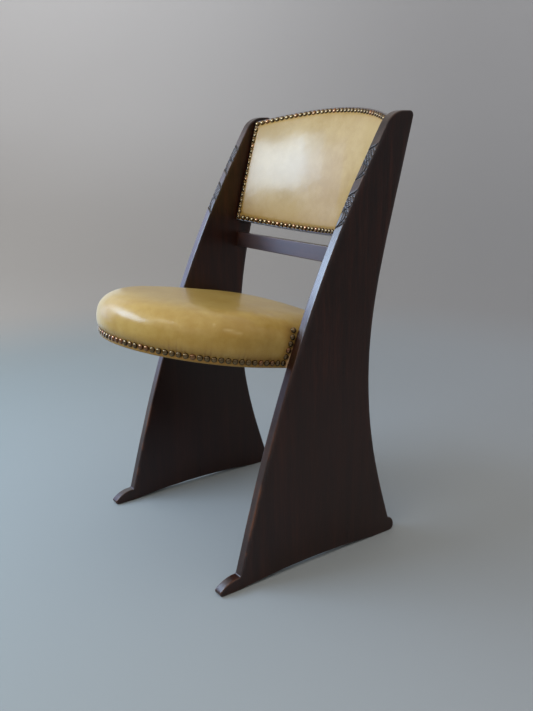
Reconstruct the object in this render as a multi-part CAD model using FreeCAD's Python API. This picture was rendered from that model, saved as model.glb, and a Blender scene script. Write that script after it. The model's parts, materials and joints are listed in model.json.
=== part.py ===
import FreeCAD, Part
import math
import os

from FreeCAD import Placement, Rotation, Vector

# Occasional chair: two shaped side panels hold a round-fronted leather seat and a bowed leather back.
# Millimetres, +Z up, floor at z = 0. The sitter faces -Y, so the sitter's left is +X.

# Side panels. Outline points are (y, z) on the panel's own datum, before the chair is centred.
panel_thickness = 18.0
clear_width = 388.0
panel_height = 765.0
panel_top_front = 148.5
panel_top_rear = 197.5
shoulder_radius = 45.0
rear_corner_radius = 8.0
toe_crotch = (-164.5, 23.5)
front_edge_low = (-119.5, 180.0)
front_edge_mid = (-39.5, 405.0)
front_edge_high = (68.0, 630.0)
heel_crotch = (170.5, 28.5)
back_edge_low = (127.5, 180.0)
back_edge_mid = (114.5, 405.0)
back_edge_high = (162.5, 630.0)
toe_upper = (-188.0, 19.5)
toe_tip = (-205.8, 7.5)
toe_under = (-204.0, 2.2)
toe_sole_front = (-199.0, 0.0)
toe_sole_rear = (-165.5, 0.0)
heel_upper = (180.5, 22.5)
heel_tip = (184.5, 12.0)
heel_under = (182.0, 3.2)
heel_sole_rear = (175.0, 0.0)
heel_sole_front = (130.0, 0.0)
sole_arch_height = 8.0

# Seat, in its own plane: origin at the centre of the half-round front, on the line of the nails.
seat_centre_y = -91.0
seat_centre_z = 376.0
seat_tilt = 10.6
seat_side_gap = 4.5
seat_bulge = 4.2
seat_straight = 187.0
seat_band_top = 6.0
seat_bulge_height = 30.0
shoulder_height = 46.0
seat_shoulder_radius = 22.0
seat_crown = 72.0
seat_side_height = 65.0
seat_rear_slope = 60.0
leather_thickness = 1.8
seat_under_lip = 18.0
seat_fit = 0.2
rail_bottom = -7.0
rail_height = 40.0
rail_width = 28.0
cheek_top = 29.0
cheek_setback = 0.5
bow_joint_angle = 60.0
block_leg = 30.0
block_height = 30.0
dust_cloth_thickness = 1.0
stuffing_fit = 0.3

# Webbing and hessian under the seat stuffing
web_gap = 12.0
web_thickness = 1.5
web_count = 4
web_ramp = 8.0
web_end_margin = 4.0
hessian_thickness = 1.0
hessian_margin = 6.0

# Dowels, screws and pegs
dowel_radius = 4.0
dowel_length = 36.0
dowel_spread = 9.0
hole_fit = 0.1
peg_radius = 5.0
peg_in_panel = 11.0
peg_in_stile = 22.0
peg_spread = 20.0
screw_radius = 2.5
screw_head_radius = 4.8
screw_head_length = 4.0
screw_in_panel = 12.0
screw_height = 11.0
screw_places = (62.0, 90.0, 118.0)

# Lower back slat
slat_height = 29.0
slat_thickness = 18.0
slat_rake = 6.0
slat_front_y = 101.0
slat_below_back = 61.5
tenon_length = 10.0
tenon_height = 19.0
tenon_thickness = 9.0

# Back, in its own raked plane: origin on the frame's front face at its ends, level with the lower nails.
back_y = 103.5
back_below_top = 195.5
back_rake = 15.5
back_bow = 48.0
back_frame_thickness = 20.0
back_below_nails = 8.0
back_side_height = 194.0
back_arch = 36.0
bottom_rail_height = 40.0
crest_height = 40.0
stile_width = 36.0
back_leather_margin = 2.5
back_leather_thickness = 1.6
back_band = 9.0
back_rise_width = 8.0
back_edge_pad = 6.0
back_crown = 11.0
back_section_step = 20.0
back_web_places = (-111.0, -37.0, 37.0, 111.0)
back_web_end = 26.0
back_hessian_margin = 25.0

# Upholstery nails
nail_radius = 5.0
nail_top_radius = 3.2
nail_height = 2.6
nail_sides = 6
nail_pitch = 11.2
nail_seat_gap = 0.1
nail_from_panel = 5.6
column_top = 58.0

# Sizes that follow from the ones above
half_clear = clear_width / 2.0
seat_radius = half_clear - seat_side_gap
rail_top = rail_bottom + rail_height
rail_outer = seat_radius - leather_thickness - seat_fit
rail_rear = seat_straight - leather_thickness - seat_fit
rail_inner = rail_outer - rail_width
web_edge = math.sqrt(0.5) * (rail_outer - web_end_margin) - web_ramp - web_end_margin
web_width = (2.0 * web_edge - (web_count - 1) * web_gap) / web_count
hessian_bottom = rail_top + 2.0 * web_thickness
hessian_top = hessian_bottom + hessian_thickness
lip_bottom = rail_bottom - leather_thickness
back_z = panel_height - back_below_top
slat_bottom_z = back_z - slat_below_back
seat_placement = Placement(Vector(0, seat_centre_y, seat_centre_z), Rotation(Vector(1, 0, 0), -seat_tilt))
back_placement = Placement(Vector(0, back_y, back_z), Rotation(Vector(1, 0, 0), -back_rake))
slat_placement = Placement(Vector(0, slat_front_y, slat_bottom_z), Rotation(Vector(1, 0, 0), -slat_rake))
bow_radius = (half_clear ** 2 + back_bow ** 2) / (2.0 * back_bow)
bow_centre = back_bow - bow_radius
FAR = 1000.0


def line(a, b):
    return Part.LineSegment(a, b).toShape()


def arc(a, b, c):
    return Part.Arc(a, b, c).toShape()


def solid_of(wire_edges, direction):
    return Part.Face(Part.Wire(wire_edges)).extrude(direction)


def box(x0, x1, y0, y1, z0, z1):
    return Part.makeBox(x1 - x0, y1 - y0, z1 - z0, Vector(x0, y0, z0))


def placed(shape, placement):
    moved = shape.copy()
    moved.Placement = placement.multiply(moved.Placement)
    return moved


def mirrored(shape):
    return shape.mirror(Vector(0, 0, 0), Vector(1, 0, 0))


def circle_through(a, b, c):
    """Centre and radius of the circle through three points of a plane."""
    bx, by = b[0] - a[0], b[1] - a[1]
    cx, cy = c[0] - a[0], c[1] - a[1]
    d = 2.0 * (bx * cy - by * cx)
    ux = (cy * (bx * bx + by * by) - by * (cx * cx + cy * cy)) / d
    uy = (bx * (cx * cx + cy * cy) - cx * (bx * bx + by * by)) / d
    return (a[0] + ux, a[1] + uy), math.hypot(ux, uy)


# Side panels

def spline(points):
    curve = Part.BSplineCurve()
    curve.interpolate([Vector(0, y, z) for y, z in points])
    return curve


front_curve = spline((toe_crotch, front_edge_low, front_edge_mid, front_edge_high,
                      (panel_top_front, panel_height)))
back_curve = spline((heel_crotch, back_edge_low, back_edge_mid, back_edge_high,
                     (panel_top_rear, panel_height)))


def front_edge_y(z):
    """Depth of the panel's front edge at a height."""
    low, high = front_curve.FirstParameter, front_curve.LastParameter
    for _ in range(50):
        middle = 0.5 * (low + high)
        if front_curve.value(middle).z < z:
            low = middle
        else:
            high = middle
    return front_curve.value(low).y


def panel_blank(x0, x1):
    """The panel's outline from x0 to x1, with its rounded top corners."""
    def at(point):
        return Vector(0, point[0], point[1])

    arch_top = (0.5 * (toe_sole_rear[0] + heel_sole_front[0]), sole_arch_height)
    top_front = (panel_top_front, panel_height)
    top_rear = (panel_top_rear, panel_height)
    edges = [
        front_curve.toShape(),
        line(at(top_front), at(top_rear)),
        back_curve.toShape(),
        arc(at(heel_crotch), at(heel_upper), at(heel_tip)),
        arc(at(heel_tip), at(heel_under), at(heel_sole_rear)),
        line(at(heel_sole_rear), at(heel_sole_front)),
        arc(at(heel_sole_front), at(arch_top), at(toe_sole_rear)),
        line(at(toe_sole_rear), at(toe_sole_front)),
        arc(at(toe_sole_front), at(toe_under), at(toe_tip)),
        arc(at(toe_tip), at(toe_upper), at(toe_crotch)),
    ]
    blank = solid_of(Part.__sortEdges__(edges), Vector(x1 - x0, 0, 0))
    blank.translate(Vector(x0, 0, 0))
    for corner, radius in ((top_front, shoulder_radius), (top_rear, rear_corner_radius)):
        middle = Vector(0.5 * (x0 + x1), corner[0], corner[1])
        corner_edges = [e for e in blank.Edges if (e.CenterOfMass - middle).Length < 0.01]
        blank = blank.makeFillet(radius, corner_edges)
    return blank


# Lower back slat

def slat(fit=0.0):
    """The slat and its stub tenons. A fit above zero gives the shape of the mortises."""
    body = box(-half_clear, half_clear, 0, slat_thickness, 0, slat_height)
    tenon_y = 0.5 * (slat_thickness - tenon_thickness)
    tenon_z = 0.5 * (slat_height - tenon_height)
    reach = half_clear + tenon_length + fit
    tenons = box(-reach, reach, tenon_y - fit, tenon_y + tenon_thickness + fit,
                 tenon_z - fit, tenon_z + tenon_height + fit)
    return placed(tenons if fit else body.fuse(tenons).removeSplitter(), slat_placement)


# Seat shapes, in the seat's own plane

def d_prism(radius, rear, z0, z1):
    """Half-round front, straight sides and straight back."""
    edges = [
        arc(Vector(radius, 0, z0), Vector(0, -radius, z0), Vector(-radius, 0, z0)),
        line(Vector(-radius, 0, z0), Vector(-radius, rear, z0)),
        line(Vector(-radius, rear, z0), Vector(radius, rear, z0)),
        line(Vector(radius, rear, z0), Vector(radius, 0, z0)),
    ]
    return solid_of(edges, Vector(0, 0, z1 - z0))


def rim_points(wall, side_top):
    """Points up the seat's swelling side, as (distance from the centre, height)."""
    shoulder = wall + seat_bulge - 1.2
    inner = shoulder - seat_shoulder_radius
    lean = math.sqrt(0.5)
    return {
        "band": (wall, seat_band_top),
        "bulge": (wall + seat_bulge, seat_bulge_height),
        "shoulder": (shoulder, shoulder_height),
        "turn": (inner + lean * seat_shoulder_radius,
                 shoulder_height + lean * (side_top - shoulder_height)),
        "top": (inner, side_top),
    }


def drum(inset, bottom):
    """The stuffed seat's form, drawn in by an inset: crown, swelling side and rounded back edge."""
    wall = seat_radius - inset
    side_top = seat_side_height - inset
    crown = seat_crown - inset
    rim = rim_points(wall, side_top)

    def half(key):
        return Vector(rim[key][0], 0, rim[key][1])

    rise = crown - side_top
    crown_radius = (rim["top"][0] ** 2 + rise ** 2) / (2.0 * rise)
    half_turn = 0.5 * math.asin(rim["top"][0] / crown_radius)
    crown_middle = Vector(crown_radius * math.sin(half_turn), 0,
                          crown - crown_radius * (1.0 - math.cos(half_turn)))
    apex = Vector(0, 0, crown)
    profile = Part.Face(Part.Wire([
        line(Vector(0, 0, bottom), Vector(wall, 0, bottom)),
        line(Vector(wall, 0, bottom), half("band")),
        arc(half("band"), half("bulge"), half("shoulder")),
        arc(half("shoulder"), half("turn"), half("top")),
        arc(half("top"), crown_middle, apex),
        line(apex, Vector(0, 0, bottom)),
    ]))
    front = profile.revolve(Vector(0, 0, 0), Vector(0, 0, 1), -180)
    length = Vector(0, seat_straight + seat_bulge, 0)
    body = front.fuse([profile.extrude(length), mirrored(profile).extrude(length)]).removeSplitter()

    rear = rim_points(seat_straight - inset, side_top)

    def back(key):
        return Vector(-FAR, rear[key][0], rear[key][1])

    clear_top = crown + 1.0
    back_line = Part.Wire([
        line(Vector(-FAR, -FAR, bottom - 1.0), Vector(-FAR, rear["band"][0], bottom - 1.0)),
        line(Vector(-FAR, rear["band"][0], bottom - 1.0), back("band")),
        arc(back("band"), back("bulge"), back("shoulder")),
        arc(back("shoulder"), back("turn"), back("top")),
        line(back("top"), Vector(-FAR, rear["top"][0] - seat_rear_slope, clear_top)),
        line(Vector(-FAR, rear["top"][0] - seat_rear_slope, clear_top), Vector(-FAR, -FAR, clear_top)),
        line(Vector(-FAR, -FAR, clear_top), Vector(-FAR, -FAR, bottom - 1.0)),
    ])
    return body.common(Part.Face(back_line).extrude(Vector(2.0 * FAR, 0, 0)))


def panel_shadow(x0, y_shift):
    """The side panels' outline carried in to x0 on both sides, in the seat's own plane."""
    slab = panel_blank(x0, half_clear)
    slab.translate(Vector(0, y_shift, 0))
    slab = placed(slab, seat_placement.inverse())
    return slab.fuse(mirrored(slab))


def dowel(start, direction, fit=0.0):
    """A dowel centred on a joint. A fit above zero gives its hole."""
    length = dowel_length + 2.0 * fit
    base = start - direction * (0.5 * length)
    return Part.makeCylinder(dowel_radius + fit, length, base, direction)


def seat_dowels(fit=0.0):
    """Two dowels in each joint of the seat frame."""
    middle_radius = rail_outer - 0.5 * rail_width
    middle_height = rail_bottom + 0.5 * rail_height
    dowels = []
    for step in (-dowel_spread, dowel_spread):
        height = middle_height + step
        for angle in (0.0, bow_joint_angle, 180.0 - bow_joint_angle, 180.0):
            a = math.radians(angle)
            point = Vector(middle_radius * math.cos(a), -middle_radius * math.sin(a), height)
            dowels.append(dowel(point, Vector(math.sin(a), math.cos(a), 0), fit))
        for side in (-1, 1):
            point = Vector(side * rail_inner, rail_rear - 0.5 * rail_width, height)
            dowels.append(dowel(point, Vector(1, 0, 0), fit))
    return dowels


def seat_screws(fit=0.0):
    """Countersunk screws through the side rails into the panels."""
    start = rail_inner - fit
    end = half_clear + screw_in_panel + fit
    screws = []
    for y in screw_places:
        base = Vector(start, y, screw_height)
        shank = Part.makeCylinder(screw_radius + fit, end - start, base, Vector(1, 0, 0))
        head = Part.makeCone(screw_head_radius + fit, screw_radius + fit, screw_head_length, base,
                             Vector(1, 0, 0))
        screw = shank.fuse(head).removeSplitter()
        screws += [screw, mirrored(screw)]
    return screws


def wedge(angle0, angle1):
    """A tall sector of the seat plane, between two angles measured from +X round the front."""
    reach = 3.0 * seat_radius
    corner = [Vector(reach * math.cos(math.radians(a)), -reach * math.sin(math.radians(a)), -FAR)
              for a in (angle0, angle1)]
    centre = Vector(0, 0, -FAR)
    return solid_of([line(centre, corner[0]), line(corner[0], corner[1]), line(corner[1], centre)],
                    Vector(0, 0, 2.0 * FAR))


def seat_frame():
    """Bow in three parts, side rails with cheeks that meet the panels, and back rail."""
    ring = d_prism(rail_outer, rail_rear, rail_bottom, rail_top).cut(
        d_prism(rail_inner, rail_rear - rail_width, rail_bottom, rail_top))
    holes = Part.makeCompound(seat_dowels(hole_fit) + seat_screws(hole_fit))
    cheek = panel_shadow(rail_outer, cheek_setback).common(
        box(-FAR, FAR, 0, rail_rear, rail_bottom, cheek_top))
    side = box(rail_inner, FAR, 0, rail_rear, rail_bottom, rail_top)
    rail = ring.common(side).fuse(cheek.common(side)).removeSplitter()
    return {
        "seat_bow_left": ring.common(wedge(0.0, bow_joint_angle)).cut(holes),
        "seat_bow_front": ring.common(wedge(bow_joint_angle, 180.0 - bow_joint_angle)).cut(holes),
        "seat_bow_right": ring.common(wedge(180.0 - bow_joint_angle, 180.0)).cut(holes),
        "seat_side_rail_left": rail.cut(holes),
        "seat_side_rail_right": mirrored(rail).cut(holes),
        "seat_back_rail": ring.common(
            box(-rail_inner, rail_inner, rail_rear - rail_width, rail_rear, rail_bottom, rail_top)).cut(holes),
    }


def corner_blocks():
    """Three-cornered glue blocks in the two rear corners of the seat frame."""
    corner = Vector(rail_inner, rail_rear - rail_width, rail_bottom)
    along = corner - Vector(block_leg, 0, 0)
    forward = corner - Vector(0, block_leg, 0)
    block = solid_of([line(corner, along), line(along, forward), line(forward, corner)],
                     Vector(0, 0, block_height))
    return [block, mirrored(block)]


def web_places():
    """Middle lines of the straps, side by side out to where the round front lets them cross."""
    return [(i - 0.5 * (web_count - 1)) * (web_width + web_gap) for i in range(web_count)]


def web_strap(start, end, crossings):
    """A strap's side view along x: it lies on the frame and rises over each crossing listed."""
    half = 0.5 * web_width
    rise = web_thickness
    lower = [(start, 0.0)]
    for place in crossings:
        lower += [(place - half - web_ramp, 0.0), (place - half - 1.0, rise),
                  (place + half + 1.0, rise), (place + half + web_ramp, 0.0)]
    lower.append((end, 0.0))
    upper = [(s, h + web_thickness) for s, h in reversed(lower)]
    corners = [Vector(s, -half, rail_top + h) for s, h in lower + upper]
    return solid_of([Part.makePolygon(corners + corners[:1])], Vector(0, web_width, 0))


def seat_webbing():
    """Straps woven over and under each other, front to back and side to side."""
    middle = 0.5 * (rail_rear - rail_outer)
    reach = rail_outer - web_end_margin
    half = 0.5 * web_width
    places = web_places()
    lengthwise, crosswise = [], []
    for i, x in enumerate(places):
        front = -math.sqrt(reach ** 2 - (abs(x) + half) ** 2)
        over = [middle + y for j, y in enumerate(places) if (i + j) % 2 == 0]
        strap = web_strap(front, rail_rear - web_end_margin, over)
        strap.rotate(Vector(0, 0, 0), Vector(0, 0, 1), 90)
        strap.translate(Vector(x, 0, 0))
        lengthwise.append(strap)
    for j, y in enumerate(places):
        forward = max(0.0, half - (middle + y))
        side = math.sqrt(reach ** 2 - forward ** 2)
        over = [x for i, x in enumerate(places) if (i + j) % 2 == 1]
        strap = web_strap(-side, side, over)
        strap.translate(Vector(0, middle + y, 0))
        crosswise.append(strap)
    return lengthwise, crosswise


def seat_soft_parts():
    """Leather cover, stuffing, hessian and dust cloth."""
    cheeks = panel_shadow(rail_outer - seat_fit, 0.0).common(
        box(-FAR, FAR, 0, rail_rear + seat_fit, -FAR, cheek_top + stuffing_fit))
    leather = drum(0.0, lip_bottom)
    leather = leather.cut(drum(leather_thickness, rail_bottom))
    leather = leather.cut(d_prism(seat_radius - seat_under_lip, seat_straight - seat_under_lip,
                                  lip_bottom - 1.0, rail_bottom + 1.0))
    leather = leather.cut(cheeks)
    stuffing = drum(leather_thickness + stuffing_fit, seat_band_top - 2.0)
    stuffing = stuffing.cut(d_prism(rail_outer + stuffing_fit, rail_rear + stuffing_fit,
                                    rail_bottom, hessian_top))
    stuffing = stuffing.cut(cheeks)
    hessian = d_prism(rail_outer - hessian_margin, rail_rear - hessian_margin, hessian_bottom, hessian_top)
    cloth_edge = seat_under_lip + seat_fit
    cloth = d_prism(seat_radius - cloth_edge, seat_straight - cloth_edge,
                    rail_bottom - dust_cloth_thickness, rail_bottom)
    return {"seat_leather": leather, "seat_stuffing": stuffing, "seat_hessian": hessian,
            "seat_dust_cloth": cloth}


# Upholstery nails

def nail_head():
    """A domed head on +Z, standing on its flat underside."""
    def ring(radius, height):
        angles = [2.0 * math.pi * i / nail_sides for i in range(nail_sides)]
        return [Vector(radius * math.cos(a), radius * math.sin(a), height) for a in angles]

    low, high = ring(nail_radius, 0.0), ring(nail_top_radius, nail_height)
    outlines = [low, high]
    for i in range(nail_sides):
        j = (i + 1) % nail_sides
        outlines.append([low[i], low[j], high[j], high[i]])
    faces = [Part.Face(Part.makePolygon(outline + outline[:1])) for outline in outlines]
    return Part.Solid(Part.Shell(faces))


def nails_at(spots):
    """One head for each (point, outward direction)."""
    head = nail_head()
    heads = []
    for point, outward in spots:
        turn = Rotation(Vector(0, 0, 1), outward)
        heads.append(placed(head, Placement(point + outward * nail_seat_gap, turn)))
    return heads


def evenly(length, pitch):
    """Distances of evenly spaced nails from one end of a row to the other."""
    count = max(1, round(length / pitch))
    return [length * i / count for i in range(count + 1)]


def seat_side(height):
    """On the seat's straight sides at a height: distance from the middle, and the way the leather faces."""
    rim = rim_points(seat_radius, seat_side_height)
    if height <= seat_band_top:
        return seat_radius, Vector(1, 0, 0)
    if height <= shoulder_height:
        centre, radius = circle_through(rim["band"], rim["bulge"], rim["shoulder"])
    else:
        centre, radius = circle_through(rim["shoulder"], rim["turn"], rim["top"])
    reach = math.sqrt(radius ** 2 - (height - centre[1]) ** 2)
    return centre[0] + reach, Vector(reach / radius, 0, (height - centre[1]) / radius)


def column_points():
    """Seat-plane (y, z) of the nails that climb beside each panel's front edge, lowest first."""
    to_seat = seat_placement.inverse()
    points = []
    z = seat_centre_z
    for _ in range(60):
        spot = to_seat.multVec(Vector(0, front_edge_y(z) - nail_from_panel, z))
        z -= 0.5 * spot.z
    while spot.z <= column_top:
        points.append((spot.y, spot.z))
        lean = front_edge_y(z + 1.0) - front_edge_y(z)
        z += nail_pitch / math.hypot(1.0, lean)
        spot = to_seat.multVec(Vector(0, front_edge_y(z) - nail_from_panel, z))
    return points


def seat_nails():
    """Nails round the seat's lower edge, up beside both panels and along the back."""
    column = column_points()
    straight = column[0][0]
    row = 2.0 * straight + math.pi * seat_radius
    spots = []
    for s in evenly(row, nail_pitch):
        if s < straight:
            spots.append((Vector(seat_radius, straight - s, 0), Vector(1, 0, 0)))
        elif s > row - straight:
            spots.append((Vector(-seat_radius, s - row + straight, 0), Vector(-1, 0, 0)))
        else:
            a = (s - straight) / seat_radius
            outward = Vector(math.cos(a), -math.sin(a), 0)
            spots.append((outward * seat_radius, outward))
    for y, z in column[1:]:
        x, outward = seat_side(z)
        for side in (-1, 1):
            spots.append((Vector(side * x, y, z), Vector(side * outward.x, 0, outward.z)))
    back_row = 2.0 * (seat_radius - 2.0 * nail_radius)
    for s in evenly(back_row, nail_pitch):
        spots.append((Vector(s - 0.5 * back_row, seat_straight, 0), Vector(0, 1, 0)))
    return nails_at(spots)


# Back shapes, in the back's own raked plane

def bow_y(x, offset=0.0):
    """Depth of the bowed frame's front face, or of a face a set distance behind it."""
    return bow_centre + math.sqrt((bow_radius + offset) ** 2 - x * x)


def bow_outward(x, offset, facing):
    """Square to a bowed face at x, towards the front (-1) or the rear (1)."""
    direction = Vector(x, bow_y(x, offset) - bow_centre, 0)
    direction.normalize()
    return direction * facing


arch_radius = (half_clear ** 2 + back_arch ** 2) / (2.0 * back_arch)


def arch_z(x, drop=0.0):
    """Height of the crest's arch, or of a line a set distance below it."""
    centre = back_side_height + back_arch - arch_radius
    return centre + math.sqrt(arch_radius ** 2 - x * x) - drop


def bowed_sheet(offset, thickness, half_width, bottom, drop):
    """A bowed sheet from a lower edge to a line below the arch."""
    inner = Part.makeCylinder(bow_radius + offset, 2.0 * FAR, Vector(0, bow_centre, -FAR))
    outer = Part.makeCylinder(bow_radius + offset + thickness, 2.0 * FAR, Vector(0, bow_centre, -FAR))
    top_end = arch_z(half_width, drop)
    outline = solid_of([
        line(Vector(-half_width, 0, bottom), Vector(half_width, 0, bottom)),
        line(Vector(half_width, 0, bottom), Vector(half_width, 0, top_end)),
        arc(Vector(half_width, 0, top_end), Vector(0, 0, arch_z(0, drop)), Vector(-half_width, 0, top_end)),
        line(Vector(-half_width, 0, top_end), Vector(-half_width, 0, bottom)),
    ], Vector(0, FAR, 0))
    outline.translate(Vector(0, -0.5 * FAR + back_bow, 0))
    front_half = box(-FAR, FAR, bow_centre, FAR, -FAR, FAR)
    return outer.cut(inner).common(outline).common(front_half)


def back_joint_dowels(fit=0.0):
    """Two dowels up through each joint between stile and rail."""
    dowels = []
    rail_joint = bottom_rail_height - back_below_nails
    middle = 0.5 * back_frame_thickness
    for side in (-1, 1):
        for step in (-dowel_spread, dowel_spread):
            x = side * (half_clear - 0.5 * stile_width + step)
            y = bow_y(x, middle)
            dowels.append(dowel(Vector(x, y, rail_joint), Vector(0, 0, 1), fit))
            dowels.append(dowel(Vector(x, y, arch_z(x, crest_height)), Vector(0, 0, 1), fit))
    return dowels


def back_pegs(fit=0.0):
    """Pegs that hold the back frame between the panels."""
    pegs = []
    y = bow_y(half_clear - 0.5 * peg_in_stile, 0.5 * back_frame_thickness)
    start = half_clear - peg_in_stile - fit
    end = half_clear + peg_in_panel + fit
    stile_middle = 0.5 * (bottom_rail_height - back_below_nails + back_side_height - crest_height)
    for z in (stile_middle - peg_spread, stile_middle + peg_spread):
        peg = Part.makeCylinder(peg_radius + fit, end - start, Vector(start, y, z), Vector(1, 0, 0))
        pegs += [peg, mirrored(peg)]
    return pegs


def back_frame():
    """Arched crest rail, bottom rail and two stiles, all cut from one bowed thickness."""
    board = bowed_sheet(0.0, back_frame_thickness, half_clear, -back_below_nails, 0.0)
    lower = bowed_sheet(0.0, back_frame_thickness, half_clear, -back_below_nails, crest_height)
    joint = bottom_rail_height - back_below_nails
    holes = Part.makeCompound(back_joint_dowels(hole_fit) + back_pegs(hole_fit))
    stile_inner = half_clear - stile_width
    stile = lower.common(box(stile_inner, FAR, -FAR, FAR, joint, FAR))
    return {
        "back_crest_rail": board.cut(lower).cut(holes),
        "back_bottom_rail": lower.common(box(-FAR, FAR, -FAR, FAR, -FAR, joint)).cut(holes),
        "back_stile_left": stile.cut(holes),
        "back_stile_right": mirrored(stile).cut(holes),
    }


def pad_share(x, edge):
    """How far the padding has risen at x: nothing under the nails, full over the middle."""
    flat = edge - back_band
    if x >= flat:
        return 0.0
    return min(1.0, (flat - x) / back_rise_width)


def pad_section(x, edge, front, rear, low, high, trim):
    """One upright slice of the padded leather or its stuffing at x, as a closed wire."""
    share = pad_share(abs(x), edge)
    face = bow_y(x)
    edge_pad = share * back_edge_pad
    round_over = 1.0 - (x / edge) ** 2
    crown = edge_pad + share * (back_crown - back_edge_pad) * round_over
    steps = [(low, 0.0), (low + back_band, 0.0), (low + back_band + back_rise_width, edge_pad),
             (0.5 * (low + high), crown),
             (high - back_band - back_rise_width, edge_pad), (high - back_band, 0.0), (high, 0.0)]

    def at(step, offset):
        return Vector(x, face - offset - step[1], step[0])

    def row(offset):
        p = [at(s, offset) for s in steps]
        if share > 0.0:
            swell = [arc(p[2], p[3], p[4])]
        else:
            swell = [line(p[2], p[4])]
        return [line(p[0], p[1]), line(p[1], p[2])] + swell + [line(p[4], p[5]), line(p[5], p[6])], p

    front_edges, front_points = row(front)
    if trim:
        swell = front_edges[2]
        lower, upper = front_points[2], front_points[4]
        base = face - rear
        low_foot, high_foot = Vector(x, base, lower.z), Vector(x, base, upper.z)
        return Part.Wire([line(low_foot, lower), swell, line(upper, high_foot), line(high_foot, low_foot)])
    rear_edges, rear_points = row(rear)
    return Part.Wire(Part.__sortEdges__(
        front_edges + rear_edges
        + [line(front_points[0], rear_points[0]), line(front_points[-1], rear_points[-1])]))


def section_places(limit):
    count = math.ceil(limit / back_section_step)
    steps = [limit * i / count for i in range(1, count + 1)]
    return [-s for s in reversed(steps)] + [0.0] + steps


def back_soft_parts():
    """Padded inside leather, plain outside leather, stuffing, hessian and webbing."""
    edge = half_clear - back_leather_margin
    low = back_leather_margin - back_below_nails
    flat = edge - back_band
    full = flat - back_rise_width
    places = section_places(full)
    places = [-edge, -flat] + places + [flat, edge]
    inside = Part.makeLoft(
        [pad_section(x, edge, back_leather_thickness, 0.0, low, arch_z(x, back_leather_margin), False)
         for x in places], True, True)

    base = web_thickness + hessian_thickness
    stuffing = Part.makeLoft(
        [pad_section(x, edge, -stuffing_fit, base + stuffing_fit, low, arch_z(x, back_leather_margin), True)
         for x in section_places(full)], True, True)
    hessian = bowed_sheet(-base, hessian_thickness, half_clear - back_hessian_margin,
                          low + back_hessian_margin, back_hessian_margin)
    straps = []
    for place in back_web_places:
        strip = bowed_sheet(-web_thickness, web_thickness, half_clear, low + back_web_end, back_web_end)
        straps.append(strip.common(box(place - 0.5 * web_width, place + 0.5 * web_width,
                                       -FAR, FAR, -FAR, FAR)))
    outside = bowed_sheet(back_frame_thickness, back_leather_thickness, edge, low, back_leather_margin)
    return {"back_inside_leather": inside, "back_outside_leather": outside, "back_stuffing": stuffing,
            "back_hessian": hessian, "back_webbing": Part.makeCompound(straps)}


def back_nails(offset, facing):
    """Nails along all four edges of one face of the back, spaced along the bow."""
    edge = half_clear - back_leather_margin - 0.5 * back_band
    low = back_leather_margin - back_below_nails + 0.5 * back_band
    drop = back_leather_margin + 0.5 * back_band
    radius = bow_radius + offset
    half_angle = math.asin(edge / radius)
    spots = []

    def add(x, z):
        spots.append((Vector(x, bow_y(x, offset), z), bow_outward(x, offset, facing)))

    for s in evenly(2.0 * half_angle * radius, nail_pitch):
        x = radius * math.sin(s / radius - half_angle)
        add(x, low)
        add(x, arch_z(x, drop))
    rise = arch_z(edge, drop) - low
    for s in evenly(rise, nail_pitch)[1:-1]:
        add(-edge, low + s)
        add(edge, low + s)
    return nails_at(spots)


def chair():
    """Every piece of the chair by name, in the panels' datum."""
    lengthwise, crosswise = seat_webbing()
    seat = dict(seat_frame())
    seat.update(seat_soft_parts())
    seat["seat_corner_blocks"] = Part.makeCompound(corner_blocks())
    seat["seat_frame_dowels"] = Part.makeCompound(seat_dowels())
    seat["seat_fixing_screws"] = Part.makeCompound(seat_screws())
    seat["seat_webbing_lengthwise"] = Part.makeCompound(lengthwise)
    seat["seat_webbing_crosswise"] = Part.makeCompound(crosswise)
    seat["seat_nails"] = Part.makeCompound(seat_nails())

    back = dict(back_frame())
    back.update(back_soft_parts())
    back["back_frame_dowels"] = Part.makeCompound(back_joint_dowels())
    back["back_fixing_pegs"] = Part.makeCompound(back_pegs())
    back["back_inside_nails"] = Part.makeCompound(back_nails(-back_leather_thickness, -1))
    back["back_outside_nails"] = Part.makeCompound(
        back_nails(back_frame_thickness + back_leather_thickness, 1))

    pieces = {name: placed(shape, seat_placement) for name, shape in seat.items()}
    pieces.update({name: placed(shape, back_placement) for name, shape in back.items()})

    sockets = [slat(hole_fit)]
    sockets += [placed(s, seat_placement) for s in seat_screws(hole_fit)]
    sockets += [placed(p, back_placement) for p in back_pegs(hole_fit)]
    panel = panel_blank(half_clear, half_clear + panel_thickness).cut(Part.makeCompound(sockets))
    pieces["side_panel_left"] = panel
    pieces["side_panel_right"] = mirrored(panel)
    pieces["back_slat"] = slat()
    return pieces


# The chair is centred front to back on its own extent, then each piece is written out
pieces = chair()
extents = [shape.optimalBoundingBox(False, False) for shape in pieces.values()]
front = min(extent.YMin for extent in extents)
rear = max(extent.YMax for extent in extents)
to_centre = Vector(0, -0.5 * (front + rear), 0)
os.makedirs("parts", exist_ok=True)
for name, shape in sorted(pieces.items()):
    shape.translate(to_centre)
    shape.exportStep("parts/" + name + ".step")
print("pieces", len(pieces), "centred by", round(to_centre.y, 2), "depth", round(rear - front, 2))
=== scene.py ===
# %% [markdown]
# # An oak and leather occasional chair
#
# Two shaped oak panels stand on their edges and carry everything else: a round-fronted leather seat,
# a straight slat and a bowed leather back. The engineering model gives every piece its size and place.
# This lesson dresses it: worn arrises and carving on the oak, stretched leather, and domed brass nails.

import json
import math
import random

import bpy
import numpy as np
from mathutils import Matrix, Vector


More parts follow.
